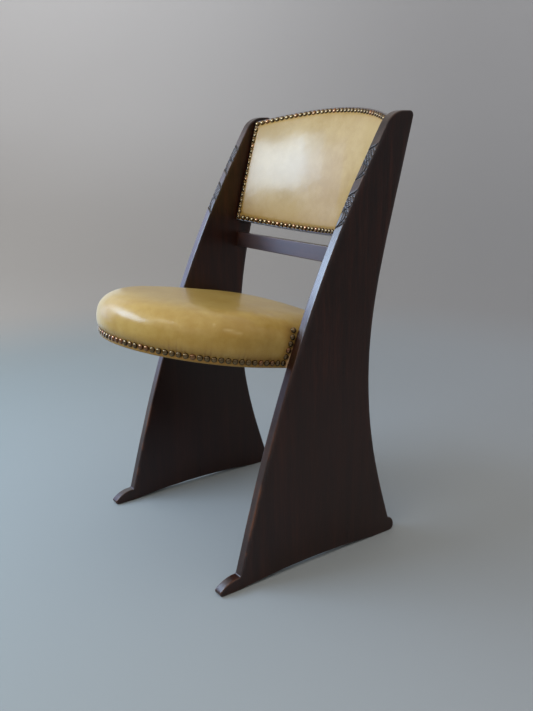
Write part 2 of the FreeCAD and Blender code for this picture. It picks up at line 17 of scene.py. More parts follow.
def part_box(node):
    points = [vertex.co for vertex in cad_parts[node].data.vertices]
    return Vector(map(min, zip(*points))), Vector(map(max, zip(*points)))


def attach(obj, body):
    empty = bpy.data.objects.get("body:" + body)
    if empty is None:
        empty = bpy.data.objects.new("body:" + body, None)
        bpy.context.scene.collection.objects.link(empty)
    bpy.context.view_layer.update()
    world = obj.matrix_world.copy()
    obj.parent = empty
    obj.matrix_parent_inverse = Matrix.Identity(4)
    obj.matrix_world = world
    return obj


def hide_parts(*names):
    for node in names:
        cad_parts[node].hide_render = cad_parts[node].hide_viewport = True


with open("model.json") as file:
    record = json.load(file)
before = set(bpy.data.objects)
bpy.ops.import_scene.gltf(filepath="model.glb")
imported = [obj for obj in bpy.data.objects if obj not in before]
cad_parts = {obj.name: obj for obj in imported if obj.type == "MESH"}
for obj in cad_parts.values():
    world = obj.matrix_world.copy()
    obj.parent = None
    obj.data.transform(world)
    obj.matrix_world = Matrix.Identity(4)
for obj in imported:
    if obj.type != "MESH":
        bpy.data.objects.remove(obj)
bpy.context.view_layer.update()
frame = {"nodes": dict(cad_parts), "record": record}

# %% [markdown]
# Shapes are written in millimetres, the way a chair maker would measure them, on a datum that runs
# through the panels. Blender works in metres, so each point list is scaled once, when its mesh is made.
# The front of the panel's toe tells where the datum lies in the frame.

# %% Measures
TO_MM, TO_METRES = 1000.0, 0.001
TOE_TIP = -205.8
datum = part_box("side_panel_left")[0][1] * TO_MM - TOE_TIP


def on_datum(points):
    """Points of the frame, which are in metres, as millimetres on the datum."""
    return np.array(points) * TO_MM - (0.0, datum, 0.0)


def leaned(points, degrees, y, z):
    """Points of a plane that leans back by an angle, carried to its place on the datum."""
    p = np.asarray(points, dtype=float)
    c, s = math.cos(math.radians(degrees)), math.sin(math.radians(degrees))
    return np.stack([p[..., 0], p[..., 1] * c + p[..., 2] * s + y, p[..., 2] * c - p[..., 1] * s + z], -1)


print("datum", round(datum, 2), "mm behind the middle")

# %% [markdown]
# A mesh can be drawn with edit tools, or given to Blender as lists of points and faces. Lists suit this
# chair, because each shape follows a curve that can be written down. Most pieces are a grid of points,
# stored row by row and joined by quads. A number stored on each point tells a finish where it is worn
# and dirty, and where it carries painted shade and painted highlights.

# %% Mesh helpers
def make_piece(name, points, faces):
    """A smooth mesh piece from points on the datum, in millimetres."""
    placed = np.asarray(points, dtype=float).reshape(-1, 3) + (0.0, datum, 0.0)
    mesh = bpy.data.meshes.new(name)
    mesh.from_pydata((placed * TO_METRES).tolist(), [], faces)
    mesh.polygons.foreach_set("use_smooth", [True] * len(mesh.polygons))
    mesh.update()
    piece = bpy.data.objects.new(name, mesh)
    bpy.context.scene.collection.objects.link(piece)
    return piece


def grid_faces(rows, columns, closed_rows=False, closed_columns=False, start=0):
    """Quads over a grid of points stored row by row."""
    faces = []
    for i in range(rows if closed_rows else rows - 1):
        for j in range(columns if closed_columns else columns - 1):
            a = start + i * columns + j
            b = start + i * columns + (j + 1) % columns
            c = start + ((i + 1) % rows) * columns + (j + 1) % columns
            d = start + ((i + 1) % rows) * columns + j
            faces.append((a, b, c, d))
    return faces


def fan(first, count, tip):
    """Triangles from a closed ring of points to one point."""
    return [(first + j, first + (j + 1) % count, tip) for j in range(count)]


def mark(piece, name, values):
    """Stores one number per point, for a material to read."""
    layer = piece.data.attributes.new(name, "FLOAT", "POINT")
    layer.data.foreach_set("value", np.asarray(values, dtype=np.float32).ravel())


def places_of(piece):
    """The piece's points, in metres."""
    points = np.empty(len(piece.data.vertices) * 3)
    piece.data.vertices.foreach_get("co", points)
    return points.reshape(-1, 3)


def move_to(piece, points):
    piece.data.vertices.foreach_set("co", np.ravel(points))
    piece.data.update()


print("mesh helpers ready")

# %% [markdown]
# Hand work is never quite even. A few crossed waves of odd lengths give an unevenness that looks found
# and not made, and a seed makes it the same on every run. Three short curves do the rest of the shaping:
# a bell round a spot, a fading away from an edge and a rise between two heights.

# %% Shaping helpers
WAVES = 7


def wobble(points, size, seed):
    """Smooth, repeatable unevenness between -1 and 1, from a few crossed waves."""
    rng = np.random.default_rng(seed)
    p = np.asarray(points, dtype=float)
    total = np.zeros(p.shape[:-1])
    for _ in range(WAVES):
        way = rng.normal(size=p.shape[-1])
        way *= rng.uniform(0.6, 1.5) / np.linalg.norm(way) * 2.0 * math.pi / size
        total += np.sin(p @ way + rng.uniform(0.0, 2.0 * math.pi))
    return total / WAVES


def bell(distance, width):
    """1 at no distance, falling smoothly away."""
    return np.exp(-(distance / width) ** 2)


def fading(distance, length):
    """1 up to no distance, then dying away over a length."""
    return np.exp(-np.clip(distance, 0.0, None) / length)


def rising(value, start, length):
    """0 up to the start, then a straight rise to 1 over a length."""
    return np.clip((value - start) / length, 0.0, 1.0)


print("unevenness of", WAVES, "waves")

# %% [markdown]
# ## Side panels
#
# Each panel is one board, sawn to a long sweep and stood on a toe and a heel. A plain extrusion would
# have knife edges, which no handled chair keeps. So the outline is swept through a section with rounded
# arrises, and the points across the edge are close enough together to take carving as real geometry.

# %% Curves
PANEL_IN, PANEL_OUT, PANEL_TOP = 194.0, 212.0, 765.0
SHOULDER_POINTS = 30


def flowing(points, count):
    """A natural cubic curve through the points, spaced by the chords between them."""
    p = np.array(points, dtype=float)
    t = np.concatenate([[0.0], np.cumsum(np.linalg.norm(np.diff(p, axis=0), axis=1))])
    h = np.diff(t)
    n = len(p)
    a, b = np.eye(n), np.zeros_like(p)
    for i in range(1, n - 1):
        a[i, i - 1:i + 2] = h[i - 1], 2.0 * (h[i - 1] + h[i]), h[i]
        b[i] = 6.0 * ((p[i + 1] - p[i]) / h[i] - (p[i] - p[i - 1]) / h[i - 1])
    m = np.linalg.solve(a, b)
    s = np.linspace(0.0, t[-1], count)
    k = np.clip(np.searchsorted(t, s, side="right") - 1, 0, n - 2)
    u, v, w = (s - t[k])[:, None], (t[k + 1] - s)[:, None], h[k][:, None]
    return (m[k] * v ** 3 + m[k + 1] * u ** 3) / (6.0 * w) \
        + (p[k] / w - m[k] * w / 6.0) * v + (p[k + 1] / w - m[k + 1] * w / 6.0) * u


def through(a, b, c, count=24):
    """An arc through three points."""
    (ax, ay), (bx, by), (cx, cy) = a, b, c
    d = 2.0 * (ax * (by - cy) + bx * (cy - ay) + cx * (ay - by))
    aa, bb, cc = ax * ax + ay * ay, bx * bx + by * by, cx * cx + cy * cy
    ux = (aa * (by - cy) + bb * (cy - ay) + cc * (ay - by)) / d
    uy = (aa * (cx - bx) + bb * (ax - cx) + cc * (bx - ax)) / d
    angles = [math.atan2(q[1] - uy, q[0] - ux) for q in (a, b, c)]
    turn = (angles[2] - angles[0]) % (2.0 * math.pi)
    if (angles[1] - angles[0]) % (2.0 * math.pi) > turn:
        turn -= 2.0 * math.pi
    way = angles[0] + turn * np.linspace(0.0, 1.0, count)
    radius = math.hypot(ax - ux, ay - uy)
    return np.stack([ux + radius * np.cos(way), uy + radius * np.sin(way)], 1)


def rounded_into_top(edge, radius, side):
    """A panel edge that turns into the level top through an arc. side is 1 where the wood lies behind it."""
    way = np.gradient(edge, axis=0)
    way /= np.linalg.norm(way, axis=1)[:, None]
    centres = edge + radius * side * np.stack([way[:, 1], -way[:, 0]], 1)
    i = int(np.argmax(centres[:, 1] > PANEL_TOP - radius))
    centre = centres[i]
    start = math.atan2(edge[i][1] - centre[1], edge[i][0] - centre[0])
    sweep = np.linspace(start, 0.5 * math.pi, SHOULDER_POINTS)
    arc = np.stack([centre[0] + radius * np.cos(sweep), centre[1] + radius * np.sin(sweep)], 1)
    return np.concatenate([edge[:i], arc])


print("panels stand", PANEL_IN, "to", PANEL_OUT, "mm from the middle")

# %% Panel outline
FRONT_EDGE = [(-164.5, 23.5), (-119.5, 180.0), (-39.5, 405.0), (68.0, 630.0), (148.5, 765.0)]
BACK_EDGE = [(170.5, 28.5), (127.5, 180.0), (114.5, 405.0), (162.5, 630.0), (197.5, 765.0)]
EDGE_POINTS, FRONT_SHOULDER, REAR_SHOULDER = 2400, 45.0, 8.0
HEEL_ARCS = [(BACK_EDGE[0], (180.5, 22.5), (184.5, 12.0)), ((184.5, 12.0), (182.0, 3.2), (175.0, 0.0))]
FLOOR_ARCH, ARCH_POINTS = ((130.0, 0.0), (-17.75, 8.0), (-165.5, 0.0)), 120
TOE_ARCS = [((-199.0, 0.0), (-204.0, 2.2), (TOE_TIP, 7.5)), ((TOE_TIP, 7.5), (-188.0, 19.5), FRONT_EDGE[0])]
FINE_STEP, SMOOTHINGS, LOOK_AHEAD = 0.25, 40, 8
PLAIN_STEP, CORNER_STEP, CARVED_STEP = 5.0, 1.3, 0.75
NEAR_FLOOR, NEAR_TOP, CARVED_FROM, CARVED_TO = 34.0, 716.0, 574.0, 718.0


def sawn_line():
    """The saw's way up the front edge, over the top and round, and the length of the front edge."""
    front = rounded_into_top(flowing(FRONT_EDGE, EDGE_POINTS), FRONT_SHOULDER, 1.0)
    back = rounded_into_top(flowing(BACK_EDGE, EDGE_POINTS), REAR_SHOULDER, -1.0)
    heel = [through(*arc)[1:] for arc in HEEL_ARCS]
    arch = through(*FLOOR_ARCH, ARCH_POINTS)
    toe = [through(*TOE_ARCS[0]), through(*TOE_ARCS[1])[1:-1]]
    front_length = np.linalg.norm(np.diff(front, axis=0), axis=1).sum()
    return np.concatenate([front, back[::-1], *heel, arch, *toe]), front_length


def panel_outline():
    """Closed outline as (depth, height): points, outward ways and whether each is on the front edge."""
    line, front_length = sawn_line()
    away = np.concatenate([[0.0], np.cumsum(np.linalg.norm(np.diff(line, axis=0), axis=1))])
    fine = np.arange(0.0, away[-1], FINE_STEP)
    dense = np.stack([np.interp(fine, away, line[:, k]) for k in (0, 1)], 1)
    for _ in range(SMOOTHINGS):
        dense = 0.5 * dense + 0.25 * (np.roll(dense, 1, axis=0) + np.roll(dense, -1, axis=0))
    way = np.roll(dense, -LOOK_AHEAD, axis=0) - np.roll(dense, LOOK_AHEAD, axis=0)
    way /= np.linalg.norm(way, axis=1)[:, None]
    height, in_front = dense[:, 1], fine < front_length
    step = np.full(len(dense), PLAIN_STEP)
    step[(height < NEAR_FLOOR) | (height > NEAR_TOP)] = CORNER_STEP
    step[in_front & (height > CARVED_FROM) & (height < CARVED_TO)] = CARVED_STEP
    keep, reach = [0], 0.0
    for i in range(1, len(dense)):
        reach += FINE_STEP
        if reach >= step[i]:
            keep.append(i)
            reach = 0.0
    return dense[keep], np.stack([-way[keep, 1], way[keep, 0]], 1), in_front[keep]


outline, outward, on_front = panel_outline()
print("panel outline", len(outline), "points")

# %% [markdown]
# ## Carving on the front edges
#
# On each front edge four slanting chisel cuts frame two small panels of carved leaf on a punched ground.
# A bump in the finish could fake them, but cuts this deep show at the panel's outline, so they go into
# the mesh. Depth is a function of the height and of the place across the edge, from the inner arris to
# the outer. A chisel cut is a V, the ground is sunk and punched, and the leaf stays proud between its
# gouged veins.

# %% Carving depth
CUTS = [(582.0, 591.0), (630.5, 640.0), (656.5, 665.0), (703.0, 712.0)]
LEAF_PANELS = [(0, 1), (2, 3)]
EDGE_WIDE, PANEL_LONG, LEAF_LONG, LEAF_WIDE, LEAF_FULL = 13.5, 45.0, 23.0, 12.0, 0.7
PUNCH_UP, PUNCH_ACROSS, LEAF_SUNK, GROUND_SUNK = 3.6, 4.2, 0.2, 0.3
VEIN_SHARE, VEIN_AWAY, STEM_UP, STEM_WAVE, STEM_BEND = 0.45, 2.6, 0.5, 0.9, 2.2
CUT_WAVE, PANEL_EDGE = 0.7, 0.05
# Each tool leaves a V of its own width and depth.
CHISEL, PUNCH, VEIN, GOUGE, STEM = (2.2, 2.5), (1.6, 1.9), (1.2, 1.5), (1.8, 2.5), (1.6, 2.2)


def notch(distance, width, depth):
    """A V cut by a tool of a width and depth, at a distance from its line."""
    return depth * np.clip(1.0 - np.abs(distance) / width, 0.0, 1.0)


def cut_line(k, across):
    """Height of a chisel cut, which slants and waves a little across the edge."""
    low, high = CUTS[k]
    return low + (high - low) * across + CUT_WAVE * np.sin(2.0 * math.pi * across)


def leaf(s, v):
    """Depth in one carved panel, s millimetres up it and v across it from its middle."""
    rim = LEAF_WIDE * np.sin(math.pi * rising(s, 1.0, LEAF_LONG - 1.0)) ** LEAF_FULL - 0.5 * EDGE_WIDE
    on_leaf = (s < LEAF_LONG) & (v < rim)
    row, half = np.round(s / PUNCH_UP), 0.5 * PUNCH_ACROSS
    punch = np.hypot(s - PUNCH_UP * row, (v + half * (row % 2)) % PUNCH_ACROSS - half)
    ground = np.where(on_leaf, LEAF_SUNK, GROUND_SUNK + notch(punch, *PUNCH))
    vein = notch(v - VEIN_SHARE * rim + VEIN_AWAY, *VEIN) * on_leaf
    gouge = notch(v - rim, *GOUGE) * (s < LEAF_LONG)
    stem = notch(s - LEAF_LONG - STEM_UP - STEM_WAVE * np.sin(v / STEM_BEND), *STEM)
    return np.maximum.reduce([ground, vein, gouge, stem])


def carving(height, across):
    """How deep the carver went, in millimetres, at heights and places across the edge from 0 to 1."""
    depth = np.zeros(np.broadcast(height, across).shape)
    for lower, upper in LEAF_PANELS:
        share = (height - cut_line(lower, across)) / (cut_line(upper, across) - cut_line(lower, across))
        inside = rising(np.minimum(share, 1.0 - share), 0.0, PANEL_EDGE)
        depth = np.maximum(depth, inside * leaf(PANEL_LONG * share, EDGE_WIDE * (across - 0.5)))
    for k in range(len(CUTS)):
        depth = np.maximum(depth, notch(height - cut_line(k, across), *CHISEL))
    return depth


print("carving", len(CUTS), "cuts and", len(LEAF_PANELS), "leaf panels")

# %% Panel meshes
ARRIS, ARRIS_POINTS, EDGE_STEPS = 2.2, 6, 22
THICK = PANEL_OUT - PANEL_IN
INSET_CLOSE, INSET_WIDE, INSET_BLEND, TOP_CURVES = 1.2, 5.0, 6, 745.0
FLAT_DROP, CARVED_DROP, CARVED_SHARE = 0.1, 1.2, 0.6
RUB, RUB_LONG, WEAR_LINE, WEAR_RUN = 0.35, 55.0, 0.6, 2.4
LOW_POLISH, MORE_POLISH, HANDLED_FROM, HANDLED_RUN = 0.35, 0.5, 330.0, 110.0
LESS_POLISH, DULL_FROM, DULL_RUN = 0.7, 712.0, 30.0


def edge_section():
    """The panel's edge from the inner face to the outer: (distance across, drop below the outline)."""
    turns = np.linspace(0.0, 0.5 * math.pi, ARRIS_POINTS)
    corner = [(ARRIS * (1.0 - math.cos(a)), ARRIS * (1.0 - math.sin(a))) for a in turns]
    flat = [(x, 0.0) for x in np.linspace(ARRIS, THICK - ARRIS, EDGE_STEPS)[1:-1]]
    mirror = [(THICK - x, drop) for x, drop in reversed(corner)]
    return np.array(corner + flat + mirror)


section = edge_section()
edge_drop = section[None, :, 1]


def panel_points(side):
    """Points of the carved edge with one ring inside each face, and the carving's depth."""
    across = (section[:, 0] - ARRIS) / (THICK - 2.0 * ARRIS)
    depth = carving(outline[:, 1:2], across[None, :]) * on_front[:, None]
    depth *= (edge_drop < FLAT_DROP) + CARVED_SHARE * ((edge_drop >= FLAT_DROP) & (edge_drop < CARVED_DROP))
    rub = RUB * wobble(outline, RUB_LONG, 3 if side > 0 else 4)[:, None]
    drop = edge_drop + depth + np.clip(rub, 0.0, None) * (edge_drop < ARRIS)
    points = np.empty((len(outline), len(section), 3))
    points[..., 0] = side * (PANEL_IN + section[None, :, 0])
    points[..., 1] = outline[:, None, 0] - outward[:, None, 0] * drop
    points[..., 2] = outline[:, None, 1] - outward[:, None, 1] * drop
    inset = np.where((outline[:, 1] < NEAR_FLOOR) | (outline[:, 1] > TOP_CURVES), INSET_CLOSE, INSET_WIDE)
    inset = np.concatenate([inset[-INSET_BLEND:], inset, inset[:INSET_BLEND]])
    blend_over = 2 * INSET_BLEND + 1
    inset = np.convolve(inset, np.ones(blend_over) / blend_over, "valid") + ARRIS
    rings = points[:, [0, -1]].copy()
    rings[..., 1:] = (outline - outward * inset[:, None])[:, None, :]
    return np.concatenate([rings[:, :1], points, rings[:, 1:]], axis=1), depth


def side_panel(name, side):
    points, depth = panel_points(side)
    rows, columns = points.shape[:2]
    faces = grid_faces(rows, columns, closed_rows=True)
    ring = np.arange(rows) * columns
    faces += [tuple(int(i) for i in ring), tuple(int(i) for i in ring[::-1] + columns - 1)]
    if side < 0:
        faces = [face[::-1] for face in faces]
    piece = make_piece(name, points, faces)
    to_inner, to_outer = np.abs(section[:, 0] - WEAR_LINE), np.abs(THICK - WEAR_LINE - section[:, 0])
    edge = np.pad(np.exp(-(np.minimum(to_inner, to_outer) + section[:, 1]) / WEAR_RUN), 1)
    mark(piece, "arris", np.broadcast_to(edge[None, :], (rows, columns)))
    mark(piece, "sunk", np.pad(depth, ((0, 0), (1, 1))))
    height = outline[:, 1:2]
    handled = LOW_POLISH + MORE_POLISH * rising(height, HANDLED_FROM, HANDLED_RUN)
    handled = handled * (1.0 - LESS_POLISH * rising(height, DULL_FROM, DULL_RUN))
    mark(piece, "polish", handled * np.pad(np.ones(columns - 2), 1)[None, :])
    piece.modifiers.new("even_faces", "WEIGHTED_NORMAL").keep_sharp = True
    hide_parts("side_panel_" + ("left" if side > 0 else "right"))
    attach(piece, "root")
    return piece


panels = [side_panel("oak_panel_left", 1.0), side_panel("oak_panel_right", -1.0)]
print("panels", [len(p.data.polygons) for p in panels], "faces")

# %% [markdown]
# ## Slat and back frame
#
# The slat is a plain bar with eased edges. The back frame is sawn to a bow, and a curve with a bevel
# could draw it. Here each bar is a rounded section carried along the bow, because the section has to
# grow with the arch: the same few lines make the crest, the bottom rail, the stiles and the slat.

# %% Bowed back
BACK_LEAN = (15.5, 103.5, 569.5)
BOW, HALF_CLEAR, FRAME_DEPTH = 48.0, 194.0, 20.0
BOW_RADIUS = (HALF_CLEAR ** 2 + BOW ** 2) / (2.0 * BOW)
ARCH, SIDE_HEIGHT, BELOW_NAILS = 36.0, 194.0, 8.0
ARCH_RADIUS = (HALF_CLEAR ** 2 + ARCH ** 2) / (2.0 * ARCH)


def bow_depth(x, behind=0.0):
    """Depth of the bow's front face, or of a face behind it, at a place across the chair."""
    return BOW - BOW_RADIUS + np.sqrt((BOW_RADIUS + behind) ** 2 - np.square(x))


def arch_height(x):
    return SIDE_HEIGHT + ARCH - ARCH_RADIUS + np.sqrt(ARCH_RADIUS ** 2 - np.square(x))


def bowed(x):
    """Front and rear of a bar of the back frame."""
    return bow_depth(x), bow_depth(x, FRAME_DEPTH)


print("bow radius", round(BOW_RADIUS, 1), "mm, arch radius", round(ARCH_RADIUS, 1), "mm")

# %% Bars
EASE, BAR_POLISH = 1.6, 0.9
CORNER_TURNS = np.array([0.0, 30.0, 60.0, 90.0])
CORNER_WEAR = [0.4, 1.0, 1.0, 0.4]


def bar_section(low, high, front, rear):
    """A rounded rectangle as (depth, height) points."""
    loop = []
    for cy, cz, first in ((rear - EASE, high - EASE, 0.0), (front + EASE, high - EASE, 90.0),
                          (front + EASE, low + EASE, 180.0), (rear - EASE, low + EASE, 270.0)):
        for a in np.radians(first + CORNER_TURNS):
            loop.append((cy + EASE * math.cos(a), cz + EASE * math.sin(a)))
    return np.array(loop)


def bar(name, node, places, low, high, depth, lean):
    """A bar along x with eased edges. low, high and depth give its section at each place."""
    loops = []
    for x in places:
        loop = bar_section(low(x), high(x), *depth(x))
        loops.append(np.column_stack([np.full(len(loop), x), loop]))
    points = leaned(np.array(loops), *lean)
    rows, columns = points.shape[:2]
    faces = grid_faces(rows, columns, closed_columns=True)
    faces += [tuple(range(columns))[::-1], tuple(range((rows - 1) * columns, rows * columns))]
    piece = make_piece(name, points, faces)
    mark(piece, "arris", np.tile(CORNER_WEAR, 4 * rows))
    mark(piece, "sunk", np.zeros((rows, columns)))
    mark(piece, "polish", np.full((rows, columns), BAR_POLISH))
    piece.modifiers.new("even_faces", "WEIGHTED_NORMAL").keep_sharp = True
    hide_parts(node)
    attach(piece, "root")
    return piece


RAIL_TALL, RAIL_TOP, STILE_INNER, PLAY = 40.0, 32.0, 158.0, 0.1
SLAT_END, SLAT_TALL, SLAT_THICK, SLAT_LEAN = 204.0, 29.0, 18.0, (6.0, 101.0, 508.0)
TENON_SHOULDER, TENON_CHEEK = 5.0, 4.5
RAIL_PLACES, STILE_PLACES, SLAT_PLACES = 81, 12, 61


def under_crest(x):
    return arch_height(x) - RAIL_TALL


def on_rail(x):
    return RAIL_TOP


def cut_back(x, by):
    """How far the slat is cut back: not at all where it shows, and for a stub tenon inside each panel."""
    return 0.0 if abs(x) < HALF_CLEAR else by


wide = np.linspace(-HALF_CLEAR + PLAY, HALF_CLEAR - PLAY, RAIL_PLACES)
stile = np.linspace(STILE_INNER, HALF_CLEAR - PLAY, STILE_PLACES)
back_bars = [
    bar("oak_crest_rail", "back_crest_rail", wide, under_crest, arch_height, bowed, BACK_LEAN),
    bar("oak_bottom_rail", "back_bottom_rail", wide, lambda x: -BELOW_NAILS, on_rail, bowed, BACK_LEAN),
    bar("oak_stile_left", "back_stile_left", stile, on_rail, under_crest, bowed, BACK_LEAN),
    bar("oak_stile_right", "back_stile_right", -stile[::-1], on_rail, under_crest, bowed, BACK_LEAN),
]
slat = bar("oak_slat", "back_slat", np.linspace(-SLAT_END, SLAT_END, SLAT_PLACES),
           lambda x: cut_back(x, TENON_SHOULDER), lambda x: SLAT_TALL - cut_back(x, TENON_SHOULDER),
           lambda x: (cut_back(x, TENON_CHEEK), SLAT_THICK - cut_back(x, TENON_CHEEK)), SLAT_LEAN)
print("bars", [b.name for b in back_bars + [slat]])

# %% [markdown]
# ## Nails
#
# Upholstery nails are pressed brass domes. One dome could be copied along the edges as instances, but
# hand-driven nails never sit quite alike: each one is turned, tipped and sized a little differently, and
# carries its own tone of tarnish. The engineering model already says where each head sits and which way
# it faces, so the domes are set on those places.

# %% Nail places from the frame
RIM_REACH = 0.0043


def loose_parts(piece):
    """The points of each separate part of a mesh, in metres."""
    unique, member = np.unique(np.round(places_of(piece), 6), axis=0, return_inverse=True)
    member = member.ravel()
    parent = list(range(len(unique)))

    def root(i):
        while parent[i] != i:
            parent[i] = parent[parent[i]]
            i = parent[i]
        return i

    for polygon in piece.data.polygons:
        corners = [root(member[v]) for v in polygon.vertices]
        for other in corners[1:]:
            parent[root(other)] = root(corners[0])
    parts = {}
    for i in range(len(unique)):
        parts.setdefault(root(i), []).append(unique[i])
    return [np.array(part) for part in parts.values()]


def nail_places(node):
    """Middle of the underside and outward way of each head in a node, in metres."""
    places = []
    for head in loose_parts(frame["nodes"][node]):
        reach = np.linalg.norm(head - head.mean(0), axis=1)
        low, high = head[reach > RIM_REACH].mean(0), head[reach < RIM_REACH].mean(0)
        places.append((low, (high - low) / np.linalg.norm(high - low)))
    return sorted(places, key=lambda place: tuple(np.round(place[0], 5)))


seat_places, back_places, rear_places = (
    nail_places(node) for node in ("seat_nails", "back_inside_nails", "back_outside_nails"))
print("nails", len(seat_places), len(back_places), len(rear_places))

# %% Nail heads
HEAD_RADIUS, HEAD_RISE, TIP = 0.0050, 0.0036, 0.05
RADIUS_SPREAD, RISE_SPREAD = (0.95, 1.03), (0.9, 1.08)
DOME_ROWS, DOME_SIDES, DOME_FULL = 6, 16, 0.8
DOME_POINTS = DOME_ROWS * DOME_SIDES + 1


def dome(foot, turn, radius, rise):
    """Points of one head, ring by ring to its top, and the height of each as a share."""
    points, heights = [], []
    for i in range(DOME_ROWS):
        a = 0.5 * math.pi * i / DOME_ROWS
        for j in range(DOME_SIDES):
            b = 2.0 * math.pi * j / DOME_SIDES
            flat = radius * math.cos(a) ** DOME_FULL
            spot = Vector((flat * math.cos(b), flat * math.sin(b), rise * math.sin(a)))
            points.append(Vector(foot) + turn @ spot)
            heights.append(math.sin(a))
    points.append(Vector(foot) + turn @ Vector((0.0, 0.0, rise)))
    return points, heights + [1.0]


def nail_heads(name, node, places, seed):
    chance = random.Random(seed)
    points, faces, tones, heights = [], [], [], []
    for foot, way in places:
        tip = Vector((chance.gauss(0.0, TIP), chance.gauss(0.0, TIP), chance.gauss(0.0, TIP)))
        turn = (Vector(way) + tip).normalized().to_track_quat("Z", "Y").to_matrix()
        radius = HEAD_RADIUS * chance.uniform(*RADIUS_SPREAD)
        rise = HEAD_RISE * chance.uniform(*RISE_SPREAD)
        tones += [chance.random()] * DOME_POINTS
        start = len(points)
        head, share = dome(foot, turn, radius, rise)
        points += head
        heights += share
        faces += grid_faces(DOME_ROWS, DOME_SIDES, closed_columns=True, start=start)
        faces += fan(start + (DOME_ROWS - 1) * DOME_SIDES, DOME_SIDES, start + DOME_ROWS * DOME_SIDES)
        faces.append(tuple(range(start, start + DOME_SIDES))[::-1])
    piece = make_piece(name, on_datum([tuple(p) for p in points]), faces)
    mark(piece, "tone", tones)
    mark(piece, "dome", heights)
    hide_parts(node)
    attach(piece, "root")
    return piece


brass_pieces = [nail_heads("brass_seat_nails", "seat_nails", seat_places, 11),
                nail_heads("brass_back_nails", "back_inside_nails", back_places, 12),
                nail_heads("brass_rear_nails", "back_outside_nails", rear_places, 13)]
print("nail heads", [len(piece.data.polygons) for piece in brass_pieces], "faces")

# %% [markdown]
# ## Seat
#
# The seat is hair stuffing under one tightly drawn hide. In plan it is a half circle with straight flanks
# between the panels. A revolved profile would give the front but not the flanks, so the form is built as
# rings that climb from the lip under the frame, past the nails, over the swelling side and the rounded
# shoulder to the crown.

# %% Seat contour
SEAT_RADIUS, SEAT_REAR, REAR_CORNER = 189.5, 187.0, 9.0
FRONT_STEP, REST_STEP, CORNER_POINTS = 1.5, 3.6, 8


def seat_contour():
    """Points round the seat's wall with outward ways, from the left flank round the front to the rear."""
    r, rear, c = SEAT_RADIUS, SEAT_REAR, REAR_CORNER
    half = np.linspace(0.0, math.pi, int(math.pi * r / FRONT_STEP))
    flank = np.linspace(0.0, rear - c, int((rear - c) / REST_STEP))[1:]
    right_turn = np.linspace(math.pi, 0.5 * math.pi, CORNER_POINTS)[1:]
    back_line = np.linspace(c - r, r - c, int(2.0 * (r - c) / REST_STEP))[1:]
    left_turn = np.linspace(0.5 * math.pi, 0.0, CORNER_POINTS)[1:]
    line = np.concatenate([
        np.stack([r * np.cos(half), -r * np.sin(half)], 1),
        np.stack([np.full(len(flank), -r), flank], 1),
        np.stack([c - r + c * np.cos(right_turn), rear - c + c * np.sin(right_turn)], 1),
        np.stack([back_line, np.full(len(back_line), rear)], 1),
        np.stack([r - c + c * np.cos(left_turn), rear - c + c * np.sin(left_turn)], 1),
        np.stack([np.full(len(flank) - 1, r), flank[::-1][1:]], 1),
    ])
    way = np.roll(line, -1, axis=0) - np.roll(line, 1, axis=0)
    way /= np.linalg.norm(way, axis=1)[:, None]
    return line, np.stack([-way[:, 1], way[:, 0]], 1)


contour, facing = seat_contour()
print("seat contour", len(contour), "points")

# %% Seat form
SEAT_LEAN = (10.6, -91.0, 376.0)
SEAT_MIDDLE = np.array([0.0, 8.0])
FLANK_SWELL, SWELL, SWELL_RUN = 4.2, 8.0, 60.0
SIDE_TOP, SHOULDER_TOP, CROWN = 30.0, 70.0, 77.0
SHOULDER_WIDE, SHOULDER_FULL, WALL_BLEND = 55.0, 2.2, 9.0
RINGS_TO_MIDDLE, RING_CROWDING = 40, 1.75
RIM = [(-18.0, -8.8), (-11.0, -8.8), (-5.0, -8.8), (-2.2, -8.6), (-0.6, -7.8), (0.0, -6.0), (0.0, -3.0), (0.0, 0.0),
       (0.25, 3.0), (1.0, 5.6), (2.0, 8.4), (2.8, 11.4), (3.4, 14.6), (3.8, 18.0), (4.05, 21.8), (4.18, 26.0),
       (4.2, 30.0)]


def swelling(y):
    """How far the side stands out: little between the panels, more round the free front."""
    return FLANK_SWELL + (SWELL - FLANK_SWELL) * rising(-y, 0.0, SWELL_RUN)


def top_height(x, y):
    """Height of the stuffed top: a full round shoulder that runs out into a shallow crown."""
    radius = np.hypot(x, np.minimum(y, 0.0))
    to_wall = np.stack([SEAT_RADIUS + swelling(y) - radius, SEAT_REAR + FLANK_SWELL - y])
    near = -WALL_BLEND * np.log(np.exp(-to_wall / WALL_BLEND).sum(0))
    share = rising(near, 0.0, SHOULDER_WIDE)
    shoulder = (1.0 - (1.0 - share) ** SHOULDER_FULL) ** (1.0 / SHOULDER_FULL)
    crown = 1.0 - (radius / SEAT_RADIUS) ** 2
    return SIDE_TOP + (SHOULDER_TOP - SIDE_TOP) * shoulder + (CROWN - SHOULDER_TOP) * np.clip(crown, 0.0, 1.0)


def seat_form():
    """Rings of the whole cover in the seat's own plane."""
    fuller = swelling(contour[:, 1]) / FLANK_SWELL
    rings = []
    for off, height in RIM:
        reach = off * (fuller if off > 0.0 else np.ones(len(contour)))
        ring = contour + facing * reach[:, None]
        rings.append(np.column_stack([ring, np.full(len(ring), height)]))
    edge = rings[-1]
    for k in range(1, RINGS_TO_MIDDLE):
        inward = 1.0 - (k / RINGS_TO_MIDDLE) ** RING_CROWDING
        ring = SEAT_MIDDLE + (edge[:, :2] - SEAT_MIDDLE) * inward
        rings.append(np.column_stack([ring, top_height(ring[:, 0], ring[:, 1])]))
    return np.array(rings)


form = seat_form()
rows, columns = form.shape[:2]
seat_flat = leaned(form, *SEAT_LEAN)
print("seat form", rows, "rings of", columns)

